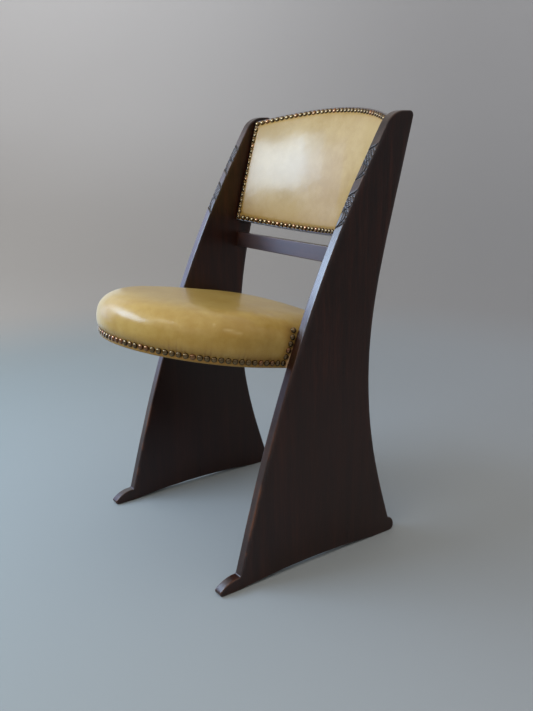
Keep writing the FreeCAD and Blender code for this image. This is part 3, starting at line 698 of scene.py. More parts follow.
# %% [markdown]
# The hide is held by its nails and pushed out by the stuffing. Sculpting could give that swell by eye. A
# short cloth simulation under pressure, with the nails and the lip pinned, finds it from the same causes
# as on the real seat. The swollen shape is then kept as plain points, so nothing is left to simulate.

# %% Seat stuffing
NAIL_REACH, NAIL_TIGHT, LIP_RINGS = 5.5, 0.6, 6
PANEL_NEAR, PANEL_FROM, PANEL_HOLD = 4.0, -30.0, 0.9
SETTLE_FRAMES, MOST_SWELL, LOOSE = 20, 0.004, 0.02
HIDE_CLOTH = {"quality": 6, "mass": 0.3, "tension_stiffness": 45.0, "compression_stiffness": 45.0,
              "shear_stiffness": 20.0, "bending_stiffness": 6.0, "air_damping": 4.0, "use_pressure": True,
              "uniform_pressure_force": 3.0, "vertex_group_mass": "nailed"}


def nail_pull(points, nails, reach):
    """How strongly each point is held down: 1 at a nail, fading with distance."""
    flat = points.reshape(-1, 3)
    held = np.zeros(len(flat))
    for nail in nails:
        held = np.maximum(held, bell(np.linalg.norm(flat - nail, axis=1), reach))
    return held.reshape(points.shape[:-1])


def pinned_share(held):
    """1 at the nails and under the frame, and nearly so where a panel is in the way."""
    under = np.arange(rows)[:, None] < LIP_RINGS
    to_panel = HALF_CLEAR - np.abs(form[..., 0])
    beside = np.clip(1.0 - to_panel / PANEL_NEAR, 0.0, 1.0) * (form[..., 1] > PANEL_FROM)
    return np.maximum(np.maximum((held > NAIL_TIGHT) * 1.0, under * 1.0), PANEL_HOLD * beside)


def settled(piece):
    """The piece's points once its cloth has come to rest."""
    for step in range(1, SETTLE_FRAMES + 1):
        bpy.context.scene.frame_set(step)
    swollen = piece.evaluated_get(bpy.context.evaluated_depsgraph_get()).to_mesh()
    points = np.empty(len(swollen.vertices) * 3)
    swollen.vertices.foreach_get("co", points)
    return points.reshape(-1, 3)


def stuff(piece, held, limit):
    """Swells a cover against its nails with cloth under pressure, and keeps the shape. limit is in metres."""
    nailed = piece.vertex_groups.new(name="nailed")
    for index in np.flatnonzero(held > LOOSE):
        nailed.add([int(index)], float(min(held[index], 1.0)), "REPLACE")
    hide = piece.modifiers.new("stuffing", "CLOTH")
    for setting, value in HIDE_CLOTH.items():
        setattr(hide.settings, setting, value)
    hide.settings.effector_weights.gravity = 0.0
    hide.collision_settings.use_collision = False
    hide.point_cache.frame_start, hide.point_cache.frame_end = 1, SETTLE_FRAMES
    start = places_of(piece)
    move = settled(piece) - start
    piece.modifiers.remove(hide)
    piece.vertex_groups.clear()
    bpy.context.scene.frame_set(1)
    length = np.linalg.norm(move, axis=1)
    move *= (limit * np.tanh(length / limit) / np.maximum(length, 1e-9))[:, None]
    move_to(piece, start + move)
    return float(np.linalg.norm(move, axis=1).max())


nail_local = on_datum([foot for foot, _ in seat_places])
seat_held = nail_pull(seat_flat, nail_local, NAIL_REACH)
print("nails hold", int((seat_held > NAIL_TIGHT).sum()), "points of the seat close")

# %% [markdown]
# Leather drawn over nails is pulled in at each nail and stands a little proud between them. These small
# upright folds fade out over the first couple of centimetres. A few long, shallow unevennesses in the
# hide catch the light the way old stuffing does. A short crease marks the sitter's left front, with a
# painted highlight along it, and a pale scuff lies near it. The folds, unevennesses and crease are finer
# than the simulation's cloth, so they are moves along each point's own outward way.

# %% Seat folds
FOLDS, FOLD_WIDE, FOLD_FOOT, DEEPEST, LIP_TOP = 400, 1.5, 2.0, 1.2, -5.0
FOLD_APART, FOLD_STRENGTH, FOLD_REACH = (4.0, 9.0), (0.15, 1.0), (4.0, 11.0)
FOLD_SEED, FEW_STRONG, IN_A_FOLD = 5, 1.5, 0.3
FOLD_DEEP, NAIL_DEEP, BEAD, BEAD_HEIGHT, BEAD_RUN = 1.15, 0.7, 0.3, 6.0, 9.0
# Depth, size and seed of each unevenness, the height where it starts and the run to its full depth.
SLACK = [(0.55, 120.0, 21, 8.0, 30.0), (0.2, 36.0, 22, 4.0, 20.0)]
CREASE_DEEP, CREASE_WIDE, RIDGE, RIDGE_AWAY = 1.0, 3.0, 0.3, 6.0
CREASE = ((172.9, -163.8, 440.1), (187.0, -132.6, 430.1))
SCUFF = (164.1, -172.7, 446.1)


def from_line(points, start, end):
    """Distance of each point from a line between two places, and a share that fades to 0 at both its ends."""
    a, b = np.array(start), np.array(end)
    share = np.clip((points - a) @ (b - a) / ((b - a) @ (b - a)), 0.0, 1.0)
    return np.linalg.norm(points - a - share[..., None] * (b - a), axis=-1), 4.0 * share * (1.0 - share)


def upright_folds(height):
    """Small folds round the rim: 0 on smooth leather, 1 and more in the deepest."""
    along = np.concatenate([[0.0], np.cumsum(np.linalg.norm(np.diff(contour, axis=0), axis=1))])
    chance = np.random.default_rng(FOLD_SEED)
    spots = np.cumsum(chance.uniform(*FOLD_APART, FOLDS))
    strength = chance.uniform(*FOLD_STRENGTH, FOLDS) ** FEW_STRONG
    reach = chance.uniform(*FOLD_REACH, FOLDS)
    folds = np.zeros((rows, columns))
    for spot, power, far in zip(spots, strength, reach):
        folds += power * bell(along - spot, FOLD_WIDE)[None, :] * fading(height - FOLD_FOOT, far) * (height > LIP_TOP)
    return np.clip(folds, 0.0, DEEPEST)


seat_height = form[..., 2]
seat_folds = upright_folds(seat_height)
crease, crease_fade = from_line(seat_flat, *CREASE)


def seat_moves():
    """How far each point stands out or in, in millimetres."""
    move = BEAD * np.exp(-np.abs(seat_height - BEAD_HEIGHT) / BEAD_RUN)
    move -= FOLD_DEEP * seat_folds + NAIL_DEEP * seat_held * (seat_height > LIP_TOP)
    for depth, size, seed, low, run in SLACK:
        move += depth * wobble(form, size, seed) * rising(seat_height, low, run)
    ridge = RIDGE * bell(crease - RIDGE_AWAY, CREASE_WIDE)
    return move + crease_fade * (ridge - CREASE_DEEP * bell(crease, CREASE_WIDE))


print("folds", int((seat_folds > IN_A_FOLD).sum()), "points in a fold")

# %% Seat cover
CALM_RINGS = 9
# Dirt and painted shade low on the rim, painted shade beside the panels, and the width of the painted highlight along
# the crease.
DIRT_SHADE_UP, BESIDE_PANEL, PANEL_REACH, PANEL_SHADE = 10.0, 186.0, 13.0, 1.25
SCUFF_WIDE, SCUFF_SHARE, CREASE_HIGHLIGHT_WIDE = 2.4, 0.7, 1.7


def drawn_in(piece, moves):
    """Moves each point along its own outward way, in millimetres."""
    points = places_of(piece)
    ways = np.empty(points.size)
    piece.data.vertex_normals.foreach_get("vector", ways)
    move_to(piece, points + ways.reshape(-1, 3) * np.ravel(moves)[:, None] * TO_METRES)


def calm_middle(piece, start):
    """Evens out the moves of the small rings round the seat's middle, where the mesh comes to a point."""
    shift = places_of(piece) - start
    rings = shift[:-1].reshape(rows, columns, 3)
    outer = rows - CALM_RINGS
    level = rings[outer].mean(0)
    reach = np.linalg.norm(form[:, 0, :2] - form[-1, :, :2].mean(0), axis=1)
    for ring in range(outer + 1, rows):
        rings[ring] = level + (rings[outer] - level) * reach[ring] / reach[outer]
    shift[:-1], shift[-1] = rings.reshape(-1, 3), level
    move_to(piece, start + shift)


def with_middle(values, middle=0.0):
    """Values of the rings, with one more for the point in the middle."""
    return np.append(np.ravel(values), middle)


def mark_seat(piece):
    """Dirt and painted shade at the nails, low on the rim and beside the panels, painted shade in the folds, and a
    pale scuff and a painted highlight on the crease.
    """
    # Painted shade where the hide meets each panel, strongest at the nails beside it.
    nails_beside = nail_local[np.abs(nail_local[:, 0]) > BESIDE_PANEL]
    beside = PANEL_SHADE * nail_pull(seat_flat, nails_beside, PANEL_REACH)
    # Dirt and painted shade low on the rim and round the nails, stored in the handled number.
    mark(piece, "handled", with_middle(np.maximum.reduce([fading(seat_height, DIRT_SHADE_UP), seat_held, beside])))
    # A pale scuff, and a painted highlight along the crease.
    scuff = SCUFF_SHARE * bell(np.linalg.norm(seat_flat - SCUFF, axis=-1), SCUFF_WIDE)
    mark(piece, "scuff_and_highlight", with_middle(np.maximum(scuff, crease_fade * bell(crease, CREASE_HIGHLIGHT_WIDE))))
    # Painted shade in the folds.
    mark(piece, "fold", with_middle(seat_folds))


def seat_cover():
    top = leaned([*SEAT_MIDDLE, CROWN], *SEAT_LEAN)
    faces = grid_faces(rows, columns, closed_columns=True) + fan((rows - 1) * columns, columns, rows * columns)
    piece = make_piece("leather_seat", np.vstack([seat_flat.reshape(-1, 3), top]), [f[::-1] for f in faces])
    start = places_of(piece)
    moved = stuff(piece, with_middle(pinned_share(seat_held)), MOST_SWELL)
    move = seat_moves()
    drawn_in(piece, with_middle(move, move[-1].mean()))
    calm_middle(piece, start)
    mark_seat(piece)
    return piece, moved


seat, swell = seat_cover()
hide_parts("seat_leather", "seat_stuffing")
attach(seat, "root")
print("seat cover", len(seat.data.polygons), "faces, swollen by", round(swell * TO_MM, 2), "mm at most")

# %% [markdown]
# ## Back
#
# The back's leather is a shallow pad that follows the bow of its frame. It lies flat under the nails,
# rises over the edge of the stuffing and swells a little towards the middle. The rear of the back is a
# plain hide, also nailed on all four sides. Cloth could be simulated here too, but the pad is thin and
# its frame already gives the shape. So each cover is a grid lifted off the bow, and the lift follows the
# distance to the nearest edge.

# %% Back grid
LEATHER_MARGIN, CORNER_BLEND = 2.5, 4.0
LEATHER_EDGE = HALF_CLEAR - LEATHER_MARGIN
LEATHER_LOW = LEATHER_MARGIN - BELOW_NAILS
COVER_COLUMNS, COVER_ROWS, COVER_CROWDING = 210, 118, 1.35


def uneven_steps(count, tight):
    """Shares from 0 to 1 that crowd towards both ends."""
    t = np.linspace(-1.0, 1.0, count)
    return 0.5 + 0.5 * np.sign(t) * (1.0 - (1.0 - np.abs(t)) ** tight)


share_x = uneven_steps(COVER_COLUMNS, COVER_CROWDING)[None, :]
share_z = uneven_steps(COVER_ROWS, COVER_CROWDING)[:, None]
cover_x = np.repeat((2.0 * share_x - 1.0) * LEATHER_EDGE, COVER_ROWS, axis=0)
cover_top = arch_height(cover_x) - LEATHER_MARGIN
cover_z = LEATHER_LOW + (cover_top - LEATHER_LOW) * share_z
cover_flat = np.stack([cover_x, cover_z], -1)
gaps = np.stack([LEATHER_EDGE - cover_x, LEATHER_EDGE + cover_x, cover_z - LEATHER_LOW, cover_top - cover_z])
from_edge = -CORNER_BLEND * np.log(np.exp(-gaps / CORNER_BLEND).sum(0))


def on_back(depth):
    """The grid's points at a depth, carried to the raked back."""
    return leaned(np.stack([cover_x, depth, cover_z], -1), *BACK_LEAN)


print("back grid", cover_x.shape, "points, at most", round(float(from_edge.max()), 1), "mm from an edge")

# %% Back covers
HIDE_LIFT, LEAST_LIFT, TURNED_EDGE = 1.6, 0.9, 0.15
BAND, ROLL, BACK_NAIL_REACH = 3.0, 10.0, 5.0
SIDE_FALL, DIMPLE, DIMPLE_FROM, NEAR_EDGE, NEAR_RUN = 0.35, 0.35, 1.5, 5.0, 9.0
PUCKER, HOLLOW, RIPPLE = (0.35, 15.0), (0.35, 90.0), (0.09, 26.0)
# Dirt and painted shade near the cover's edges and round its nails, and how deep the amber goes.
DIRT_SHADE_EDGE, DIRT_SHADE_RUN, AMBER = 6.0, 8.0, 0.68
AMBER_EDGE, AMBER_RUN, AMBER_UP, EDGE_AMBER, AMBER_LESS = 6.0, 6.0, 55.0, 0.9, 0.55


def eased(share):
    share = np.clip(share, 0.0, 1.0)
    return share * share * (3.0 - 2.0 * share)


def cover_lift(edge_rise, crown, held, seed):
    """How far a cover stands off its frame, in millimetres."""
    fullness = 1.0 - SIDE_FALL * (2.0 * share_x - 1.0) ** 2
    rise = crown * fullness * (1.0 - (2.0 * share_z - 1.0) ** 2)
    lift = HIDE_LIFT + (edge_rise + rise) * eased((from_edge - BAND) / ROLL)
    near = fading(from_edge - NEAR_EDGE, NEAR_RUN)
    pucker, hollow, ripple = (depth * wobble(cover_flat, size, seed + k)
                              for k, (depth, size) in enumerate((PUCKER, HOLLOW, RIPPLE)))
    lift += near * pucker + (1.0 - near) * (hollow + ripple) - DIMPLE * held * (from_edge > DIMPLE_FROM)
    lift = np.maximum(lift, LEAST_LIFT)
    for edge in (lift[0], lift[-1], lift[:, 0], lift[:, -1]):
        edge[:] = TURNED_EDGE
    return lift


def amber_share():
    """Where the hide is a deeper amber: along the edge on the sitter's right, and low down."""
    beside, above = gaps[1], gaps[2]
    low_down = np.exp(-above / AMBER_UP) * (1.0 - AMBER_LESS * share_x)
    return np.maximum(EDGE_AMBER * fading(beside - AMBER_EDGE, AMBER_RUN), low_down)


def back_cover(name, front, edge_rise, crown, nodes, nails, seed):
    """A leather face of the back, with a turned-in edge. front is True for the side the sitter leans on."""
    under = bow_depth(cover_x) if front else bow_depth(cover_x, FRAME_DEPTH)
    nailed = under if front else bow_depth(cover_x, FRAME_DEPTH + HIDE_LIFT)
    held = nail_pull(on_back(nailed), on_datum([foot for foot, _ in nails]), BACK_NAIL_REACH)
    lift = cover_lift(edge_rise, crown, held, seed)
    faces = grid_faces(COVER_ROWS, COVER_COLUMNS)
    piece = make_piece(name, on_back(under - lift if front else under + lift),
                       faces if front else [face[::-1] for face in faces])
    # Dirt and painted shade near the edges and round the nails, stored in the handled number.
    mark(piece, "handled", np.maximum(fading(from_edge - DIRT_SHADE_EDGE, DIRT_SHADE_RUN), held))
    mark(piece, "fold", AMBER * amber_share())
    mark(piece, "scuff_and_highlight", np.zeros(held.shape))
    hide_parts(*nodes)
    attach(piece, "root")
    return piece


back = back_cover("leather_back", True, 1.6, 9.4, ("back_inside_leather", "back_stuffing"), back_places, 31)
rear = back_cover("leather_rear", False, 0.6, 1.2, ("back_outside_leather",), rear_places, 41)
print("back covers", len(back.data.polygons), len(rear.data.polygons), "faces")

# %% [markdown]
# ## Under the seat
#
# A dark cloth closes the underside and keeps dust in. It is tacked at its edge and hangs slack in the
# middle. Its rings follow the seat's contour and dip by a few millimetres, and a modifier gives the sheet
# its thickness. That is enough for a piece seen only when the chair is turned over.

# %% Dust cloth
CLOTH_RINGS, CLOTH_INSET, CLOTH_LEVEL, CLOTH_SAG, LAST_RING = 26, 17.0, 8.9, 5.0, 0.985
SAG_UNEVEN, SAG_SIZE, SAG_SEED, CLOTH_THICK = 0.15, 120.0, 8, 0.0008


def dust_cloth():
    inner = contour - facing * CLOTH_INSET
    rings = []
    for k in range(CLOTH_RINGS):
        share = 1.0 - k / (CLOTH_RINGS - 1) * LAST_RING
        ring = SEAT_MIDDLE + (inner - SEAT_MIDDLE) * share
        uneven = 1.0 - SAG_UNEVEN + SAG_UNEVEN * wobble(ring, SAG_SIZE, SAG_SEED)
        sag = CLOTH_SAG * (1.0 - share ** 2) * uneven
        rings.append(np.column_stack([ring, -CLOTH_LEVEL - sag]))
    faces = grid_faces(CLOTH_RINGS, len(inner), closed_columns=True)
    last = (CLOTH_RINGS - 1) * len(inner)
    faces.append(tuple(range(last, last + len(inner))))
    piece = make_piece("cloth_under_seat", leaned(np.array(rings), *SEAT_LEAN), faces)
    piece.modifiers.new("cloth_thickness", "SOLIDIFY").thickness = CLOTH_THICK
    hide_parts("seat_dust_cloth")
    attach(piece, "root")
    return piece


cloth = dust_cloth()
print("dust cloth", len(cloth.data.polygons), "faces")

# %% [markdown]
# ## Finishes
#
# Painted textures would need flat maps of every piece. Here each finish is a small net of nodes round one
# Principled shader, and works from a point's place in the chair. Effects that several finishes share, the
# wood's streaks, the worn edge, the hide's grain and the weave, are node groups built once.

# %% Node helpers
def put(tree, kind, **settings):
    node = tree.nodes.new(kind)
    for key, value in settings.items():
        setattr(node, key, value)
    return node


def feed(tree, source, target):
    tree.links.new(source, target)


def new_group(name, inputs, outputs):
    group = bpy.data.node_groups.new(name, "ShaderNodeTree")
    for socket, kind, value in inputs:
        made = group.interface.new_socket(socket, in_out="INPUT", socket_type=kind)
        if value is not None:
            made.default_value = value
    for socket in outputs:
        group.interface.new_socket(socket, in_out="OUTPUT", socket_type="NodeSocketFloat")
    return group, put(group, "NodeGroupInput"), put(group, "NodeGroupOutput")


def maths(tree, operation, a, b=None, clamp=False):
    node = put(tree, "ShaderNodeMath", operation=operation, use_clamp=clamp)
    for k, value in enumerate((a, b)):
        if value is None:
            continue
        if isinstance(value, (int, float)):
            node.inputs[k].default_value = value
        else:
            feed(tree, value, node.inputs[k])
    return node.outputs[0]


def times(tree, a, b, clamp=False):
    return maths(tree, "MULTIPLY", a, b, clamp)


def plus(tree, a, b, clamp=False):
    return maths(tree, "ADD", a, b, clamp)


def noise(tree, vector, scale, detail=3.0, rough=0.5):
    node = put(tree, "ShaderNodeTexNoise")
    feed(tree, vector, node.inputs["Vector"])
    node.inputs["Scale"].default_value = scale
    node.inputs["Detail"].default_value = detail
    node.inputs["Roughness"].default_value = rough
    return node.outputs["Fac"]


print("node helpers ready")

# %% Colour helpers
def ramp(tree, value, stops):
    node = put(tree, "ShaderNodeValToRGB")
    points = node.color_ramp.elements
    while len(points) < len(stops):
        points.new(0.5)
    for point, (place, colour) in zip(points, stops):
        point.position = place
        point.color = (*colour, 1.0)
    feed(tree, value, node.inputs["Fac"])
    return node.outputs["Color"]


def blend_colour(tree, share, a, b, how="MIX"):
    node = put(tree, "ShaderNodeMix", data_type="RGBA", blend_type=how)
    for socket, value in ((node.inputs[0], share), (node.inputs[6], a), (node.inputs[7], b)):
        if isinstance(value, tuple):
            socket.default_value = (*value, 1.0)
        elif isinstance(value, float):
            socket.default_value = value
        else:
            feed(tree, value, socket)
    return node.outputs[2]


def in_range(tree, value, low, high, to_low=0.0, to_high=1.0):
    """A smooth step from one value to another while the input goes from low to high."""
    node = put(tree, "ShaderNodeMapRange", interpolation_type="SMOOTHSTEP")
    feed(tree, value, node.inputs["Value"])
    for socket, number in zip(("From Min", "From Max", "To Min", "To Max"), (low, high, to_low, to_high)):
        node.inputs[socket].default_value = number
    return node.outputs["Result"]


def axes(tree, vector):
    """The X, Y and Z of a place as three values."""
    split = put(tree, "ShaderNodeSeparateXYZ")
    feed(tree, vector, split.inputs[0])
    return split.outputs


print("colour helpers ready")

# %% Finish helpers
def placed_group(tree, group, **links):
    node = put(tree, "ShaderNodeGroup", node_tree=group)
    for socket, value in links.items():
        if isinstance(value, (int, float)):
            node.inputs[socket].default_value = value
        else:
            feed(tree, value, node.inputs[socket])
    return node.outputs


def new_finish(name):
    finish = bpy.data.materials.new(name)
    finish.use_nodes = True
    tree = finish.node_tree
    place = put(tree, "ShaderNodeTexCoord").outputs["Object"]
    return finish, tree, tree.nodes["Principled BSDF"], place


def stretched(tree, vector, scale, offset=(0.0, 0.0, 0.0), turn=(0.0, 0.0, 0.0)):
    node = put(tree, "ShaderNodeMapping")
    node.inputs["Scale"].default_value = scale
    node.inputs["Location"].default_value = offset
    node.inputs["Rotation"].default_value = turn
    feed(tree, vector, node.inputs["Vector"])
    return node.outputs["Vector"]


def stored(tree, name):
    """A number that was stored on the points."""
    return put(tree, "ShaderNodeAttribute", attribute_name=name).outputs["Fac"]


def raised(tree, shader, height, strength, distance):
    bump = put(tree, "ShaderNodeBump")
    bump.inputs["Strength"].default_value = strength
    bump.inputs["Distance"].default_value = distance
    feed(tree, height, bump.inputs["Height"])
    feed(tree, bump.outputs["Normal"], shader.inputs["Normal"])


print("finish helpers ready")

# %% [markdown]
# The oak is stained nearly black and polished, and brown wood shows where hands and feet have worn it.
# Streaks are noise stretched along the board, and pores are the same at a finer scale. The worn edge takes
# the mark stored on each arris and breaks it up, so that bare wood shows in patches, most of them low down.

# %% Wood groups
def wood_streaks():
    group, given, out = new_group("wood_streaks", [("Vector", "NodeSocketVector", None)],
                                  ["Streak", "Pores", "Height"])
    vector = given.outputs["Vector"]
    broad = noise(group, vector, scale=1.0, detail=4.0, rough=0.6)
    fine = noise(group, vector, scale=5.5, detail=5.0, rough=0.62)
    pores = in_range(group, noise(group, vector, scale=13.0, detail=2.0, rough=0.5), 0.56, 0.7)
    feed(group, plus(group, times(group, broad, 0.62), times(group, fine, 0.38)), out.inputs["Streak"])
    feed(group, pores, out.inputs["Pores"])
    feed(group, maths(group, "SUBTRACT", fine, times(group, pores, 0.6)), out.inputs["Height"])
    return group


def worn_edge():
    group, given, out = new_group("worn_edge", [("Edge", "NodeSocketFloat", 0.0), ("Vector", "NodeSocketVector", None),
                                                ("Scale", "NodeSocketFloat", 40.0)], ["Wear"])
    spots = put(group, "ShaderNodeTexNoise")
    feed(group, given.outputs["Vector"], spots.inputs["Vector"])
    feed(group, given.outputs["Scale"], spots.inputs["Scale"])
    spots.inputs["Detail"].default_value = 5.0
    broken = in_range(group, spots.outputs["Fac"], 0.44, 0.62)
    feed(group, times(group, given.outputs["Edge"], broken, True), out.inputs["Wear"])
    return group


streaks_group, wear_group = wood_streaks(), worn_edge()
print("wood groups", streaks_group.name, wear_group.name)

# %% Dark oak
STAIN = [(0.36, (0.006, 0.002, 0.0015)), (0.47, (0.013, 0.0036, 0.0023)),
         (0.56, (0.024, 0.0062, 0.0035)), (0.7, (0.044, 0.0115, 0.0056))]
PORE, SUNK_SHADE = (0.004, 0.0025, 0.0022), (0.0035, 0.0025, 0.0025)
LOW_BROWN, BARE_OAK = (0.027, 0.0098, 0.0062), (0.17, 0.058, 0.022)
GRAIN_START, WEAR_SPOTS = (0.3, 0.1, 0.2), 26.0
# Heights above the floor in metres, from and to, and the shares at both.
BROWNER_DOWN, WEAR_DOWN, WEAR_ON_TOES = (0.62, 0.2, 0.0, 0.45), (0.32, 0.12, 0.25, 1.3), (0.02, 0.08, 0.4, 1.0)


def worn_share(tree, place, height, wear):
    """How bare the wood is: most on arrises low down, less on the toes and high up."""
    worn = placed_group(tree, wear_group, Edge=stored(tree, "arris"), Vector=place, Scale=WEAR_SPOTS)["Wear"]
    floorward = in_range(tree, height, *WEAR_DOWN)
    off_floor = in_range(tree, height, *WEAR_ON_TOES)
    return times(tree, times(tree, times(tree, worn, floorward), off_floor), wear, True)


def dark_oak(name, scale, turn, wear, coat_rough, coat_index):
    """Oak stained nearly black, polished, with brown wood showing on worn arrises."""
    finish, tree, shader, place = new_finish(name)
    grain = placed_group(tree, streaks_group, Vector=stretched(tree, place, scale, GRAIN_START, turn))
    height = axes(tree, place)["Z"]
    colour = ramp(tree, grain["Streak"], STAIN)
    colour = blend_colour(tree, times(tree, grain["Pores"], 0.6), colour, PORE)
    # Browner towards the floor.
    colour = blend_colour(tree, in_range(tree, height, *BROWNER_DOWN), colour, LOW_BROWN)
    colour = blend_colour(tree, worn_share(tree, place, height, wear), colour, BARE_OAK)
    # Painted shade in the carving: the cuts and punched ground are darkened by their depth, which also roughens them
    # and thins their polish.
    sunk = times(tree, stored(tree, "sunk"), 0.75, True)
    feed(tree, blend_colour(tree, sunk, colour, SUNK_SHADE), shader.inputs["Base Color"])
    rough = plus(tree, times(tree, grain["Streak"], 0.22), 0.2)
    feed(tree, plus(tree, rough, times(tree, sunk, 0.15)), shader.inputs["Roughness"])
    polish = times(tree, stored(tree, "polish"), in_range(tree, sunk, 0.0, 1.0, to_low=1.0, to_high=0.35))
    feed(tree, polish, shader.inputs["Coat Weight"])
    shader.inputs["Coat Roughness"].default_value = coat_rough
    shader.inputs["Coat IOR"].default_value = coat_index
    shader.inputs["Specular IOR Level"].default_value = 0.42
    raised(tree, shader, grain["Height"], strength=0.18, distance=0.0006)
    return finish


upright_oak = dark_oak("oak_upright_grain", scale=(70.0, 70.0, 4.5), turn=(math.radians(-6.0), 0.0, 0.0), wear=0.6,
                       coat_rough=0.2, coat_index=1.55)
level_oak = dark_oak("oak_level_grain", scale=(4.5, 70.0, 70.0), turn=(0.0, 0.0, 0.0), wear=0.5,
                     coat_rough=0.4, coat_index=1.75)
for piece in panels:
    piece.data.materials.append(upright_oak)
for piece in back_bars + [slat]:
    piece.data.materials.append(level_oak)
print("oak finishes", upright_oak.name, level_oak.name)

# %% [markdown]
# The hide is aged ochre leather with a hard, glossy surface. Its colour drifts from straw to brown, is
# darkest at the nails, where hands and dust gather and shade is painted, and breaks up into fine cells with
# a few scuffs. The grain is noise and small cells. The numbers stored on the points put dirt and painted
# shade at the nails and edges, painted shade in the seat's folds and a deeper amber low on the back, and
# these dull the gloss there as well. A pale scuff and a painted highlight along a crease mark the seat.

# %% Hide grain
def hide_grain():
    group, given, out = new_group("hide_grain", [("Vector", "NodeSocketVector", None)],
                                  ["Drift", "Cells", "Scuffs", "Height"])
    vector = given.outputs["Vector"]
    broad = times(group, noise(group, vector, scale=9.0, detail=4.0, rough=0.55), 0.6)
    fine = times(group, noise(group, vector, scale=55.0, detail=4.0, rough=0.6), 0.4)
    cells = put(group, "ShaderNodeTexVoronoi", feature="DISTANCE_TO_EDGE")
    cells.inputs["Scale"].default_value = 720.0
    feed(group, vector, cells.inputs["Vector"])
    edges = in_range(group, cells.outputs["Distance"], 0.0, 0.16)
    scuffs = in_range(group, noise(group, vector, scale=130.0, detail=6.0, rough=0.7), 0.66, 0.8)
    height = plus(group, times(group, edges, 0.35), noise(group, vector, scale=210.0, detail=4.0, rough=0.55))
    feed(group, plus(group, broad, fine), out.inputs["Drift"])
    feed(group, edges, out.inputs["Cells"])
    feed(group, scuffs, out.inputs["Scuffs"])
    feed(group, height, out.inputs["Height"])
    return group


hide_group = hide_grain()
print("hide group", hide_group.name)

# %% Leather
# The pale colour of the seat's scuff and of the painted highlight along its crease.
SCUFF_AND_HIGHLIGHT_HIDE, COLD_SHEEN = (0.66, 0.53, 0.27), (0.85, 0.92, 1.0, 1.0)


def ochre_leather(name, pale, deep, brown, rough, coat, coat_rough, gloss, bloom):
    finish, tree, shader, place = new_finish(name)
    hide = placed_group(tree, hide_group, Vector=place)
    dirt_and_shade = times(tree, stored(tree, "handled"), plus(tree, hide["Drift"], 0.25), True)
    colour = blend_colour(tree, in_range(tree, hide["Drift"], 0.36, 0.64), deep, pale)
    colour = blend_colour(tree, times(tree, hide["Scuffs"], 0.1), colour, brown)
    # Dirt and painted shade: the stored handled number darkens the hide towards brown.
    colour = blend_colour(tree, times(tree, dirt_and_shade, 0.7), colour, brown)
    # Painted shade in the seat's folds darkens the hide towards brown; on the back the same number gives its deeper
    # amber.
    colour = blend_colour(tree, times(tree, stored(tree, "fold"), 0.85, True), colour, brown)
    # The pale scuff and the painted highlight along the crease.
    colour = blend_colour(tree, times(tree, stored(tree, "scuff_and_highlight"), 0.55, True), colour, SCUFF_AND_HIGHLIGHT_HIDE)
    dim = in_range(tree, hide["Cells"], 0.0, 1.0, to_low=0.9, to_high=1.0)
    feed(tree, blend_colour(tree, 1.0, colour, dim, "MULTIPLY"), shader.inputs["Base Color"])
    rougher = plus(tree, rough, times(tree, dirt_and_shade, 0.2))
    feed(tree, plus(tree, times(tree, hide["Drift"], 0.1), rougher), shader.inputs["Roughness"])
    dulled = maths(tree, "MAXIMUM", dirt_and_shade, stored(tree, "fold"))
    feed(tree, in_range(tree, dulled, 0.0, 0.7, coat, 0.15 * coat), shader.inputs["Coat Weight"])
    shader.inputs["Coat Roughness"].default_value = coat_rough
    shader.inputs["Specular IOR Level"].default_value = gloss
    shader.inputs["Sheen Weight"].default_value = bloom
    shader.inputs["Sheen Roughness"].default_value = 0.45
    shader.inputs["Sheen Tint"].default_value = COLD_SHEEN
    raised(tree, shader, hide["Height"], strength=0.06, distance=0.0004)
    return finish


seat_leather = ochre_leather("leather_seat_ochre", pale=(0.435, 0.303, 0.088), deep=(0.358, 0.226, 0.05),
                             brown=(0.16, 0.064, 0.012), rough=0.26, coat=0.28, coat_rough=0.17, gloss=0.3, bloom=0.0)
back_leather = ochre_leather("leather_back_ochre", pale=(0.43, 0.305, 0.11), deep=(0.35, 0.232, 0.06),
                             brown=(0.26, 0.13, 0.014), rough=0.28, coat=0.48, coat_rough=0.14, gloss=0.45, bloom=0.06)
seat.data.materials.append(seat_leather)
for piece in (back, rear):
    piece.data.materials.append(back_leather)
print("leather finishes", seat_leather.name, back_leather.name)

# %% [markdown]
# Brass nails tarnish unevenly. Most of these are dark bronze with a brighter crown, worn by rubbing and
# painted lighter as a highlight, and a few have gone coppery. A finish for each nail would be hundreds of
# materials. One is enough here: the stored tone picks each nail's colour, and the stored height on its dome
# the worn and highlighted crown and the dirt and painted shade at its foot.

# %% Brass
TARNISH = [(0.0, (0.032, 0.021, 0.013)), (0.45, (0.065, 0.04, 0.018)), (0.76, (0.11, 0.066, 0.027)),
           (0.84, (0.15, 0.052, 0.023)), (1.0, (0.22, 0.08, 0.036))]
# The crown is worn bright and painted lighter as a highlight; the foot has dirt and painted shade.
CROWN_WEAR_AND_HIGHLIGHT, NAIL_DIRT_AND_SHADE = (0.62, 0.43, 0.19), (0.02, 0.012, 0.008)


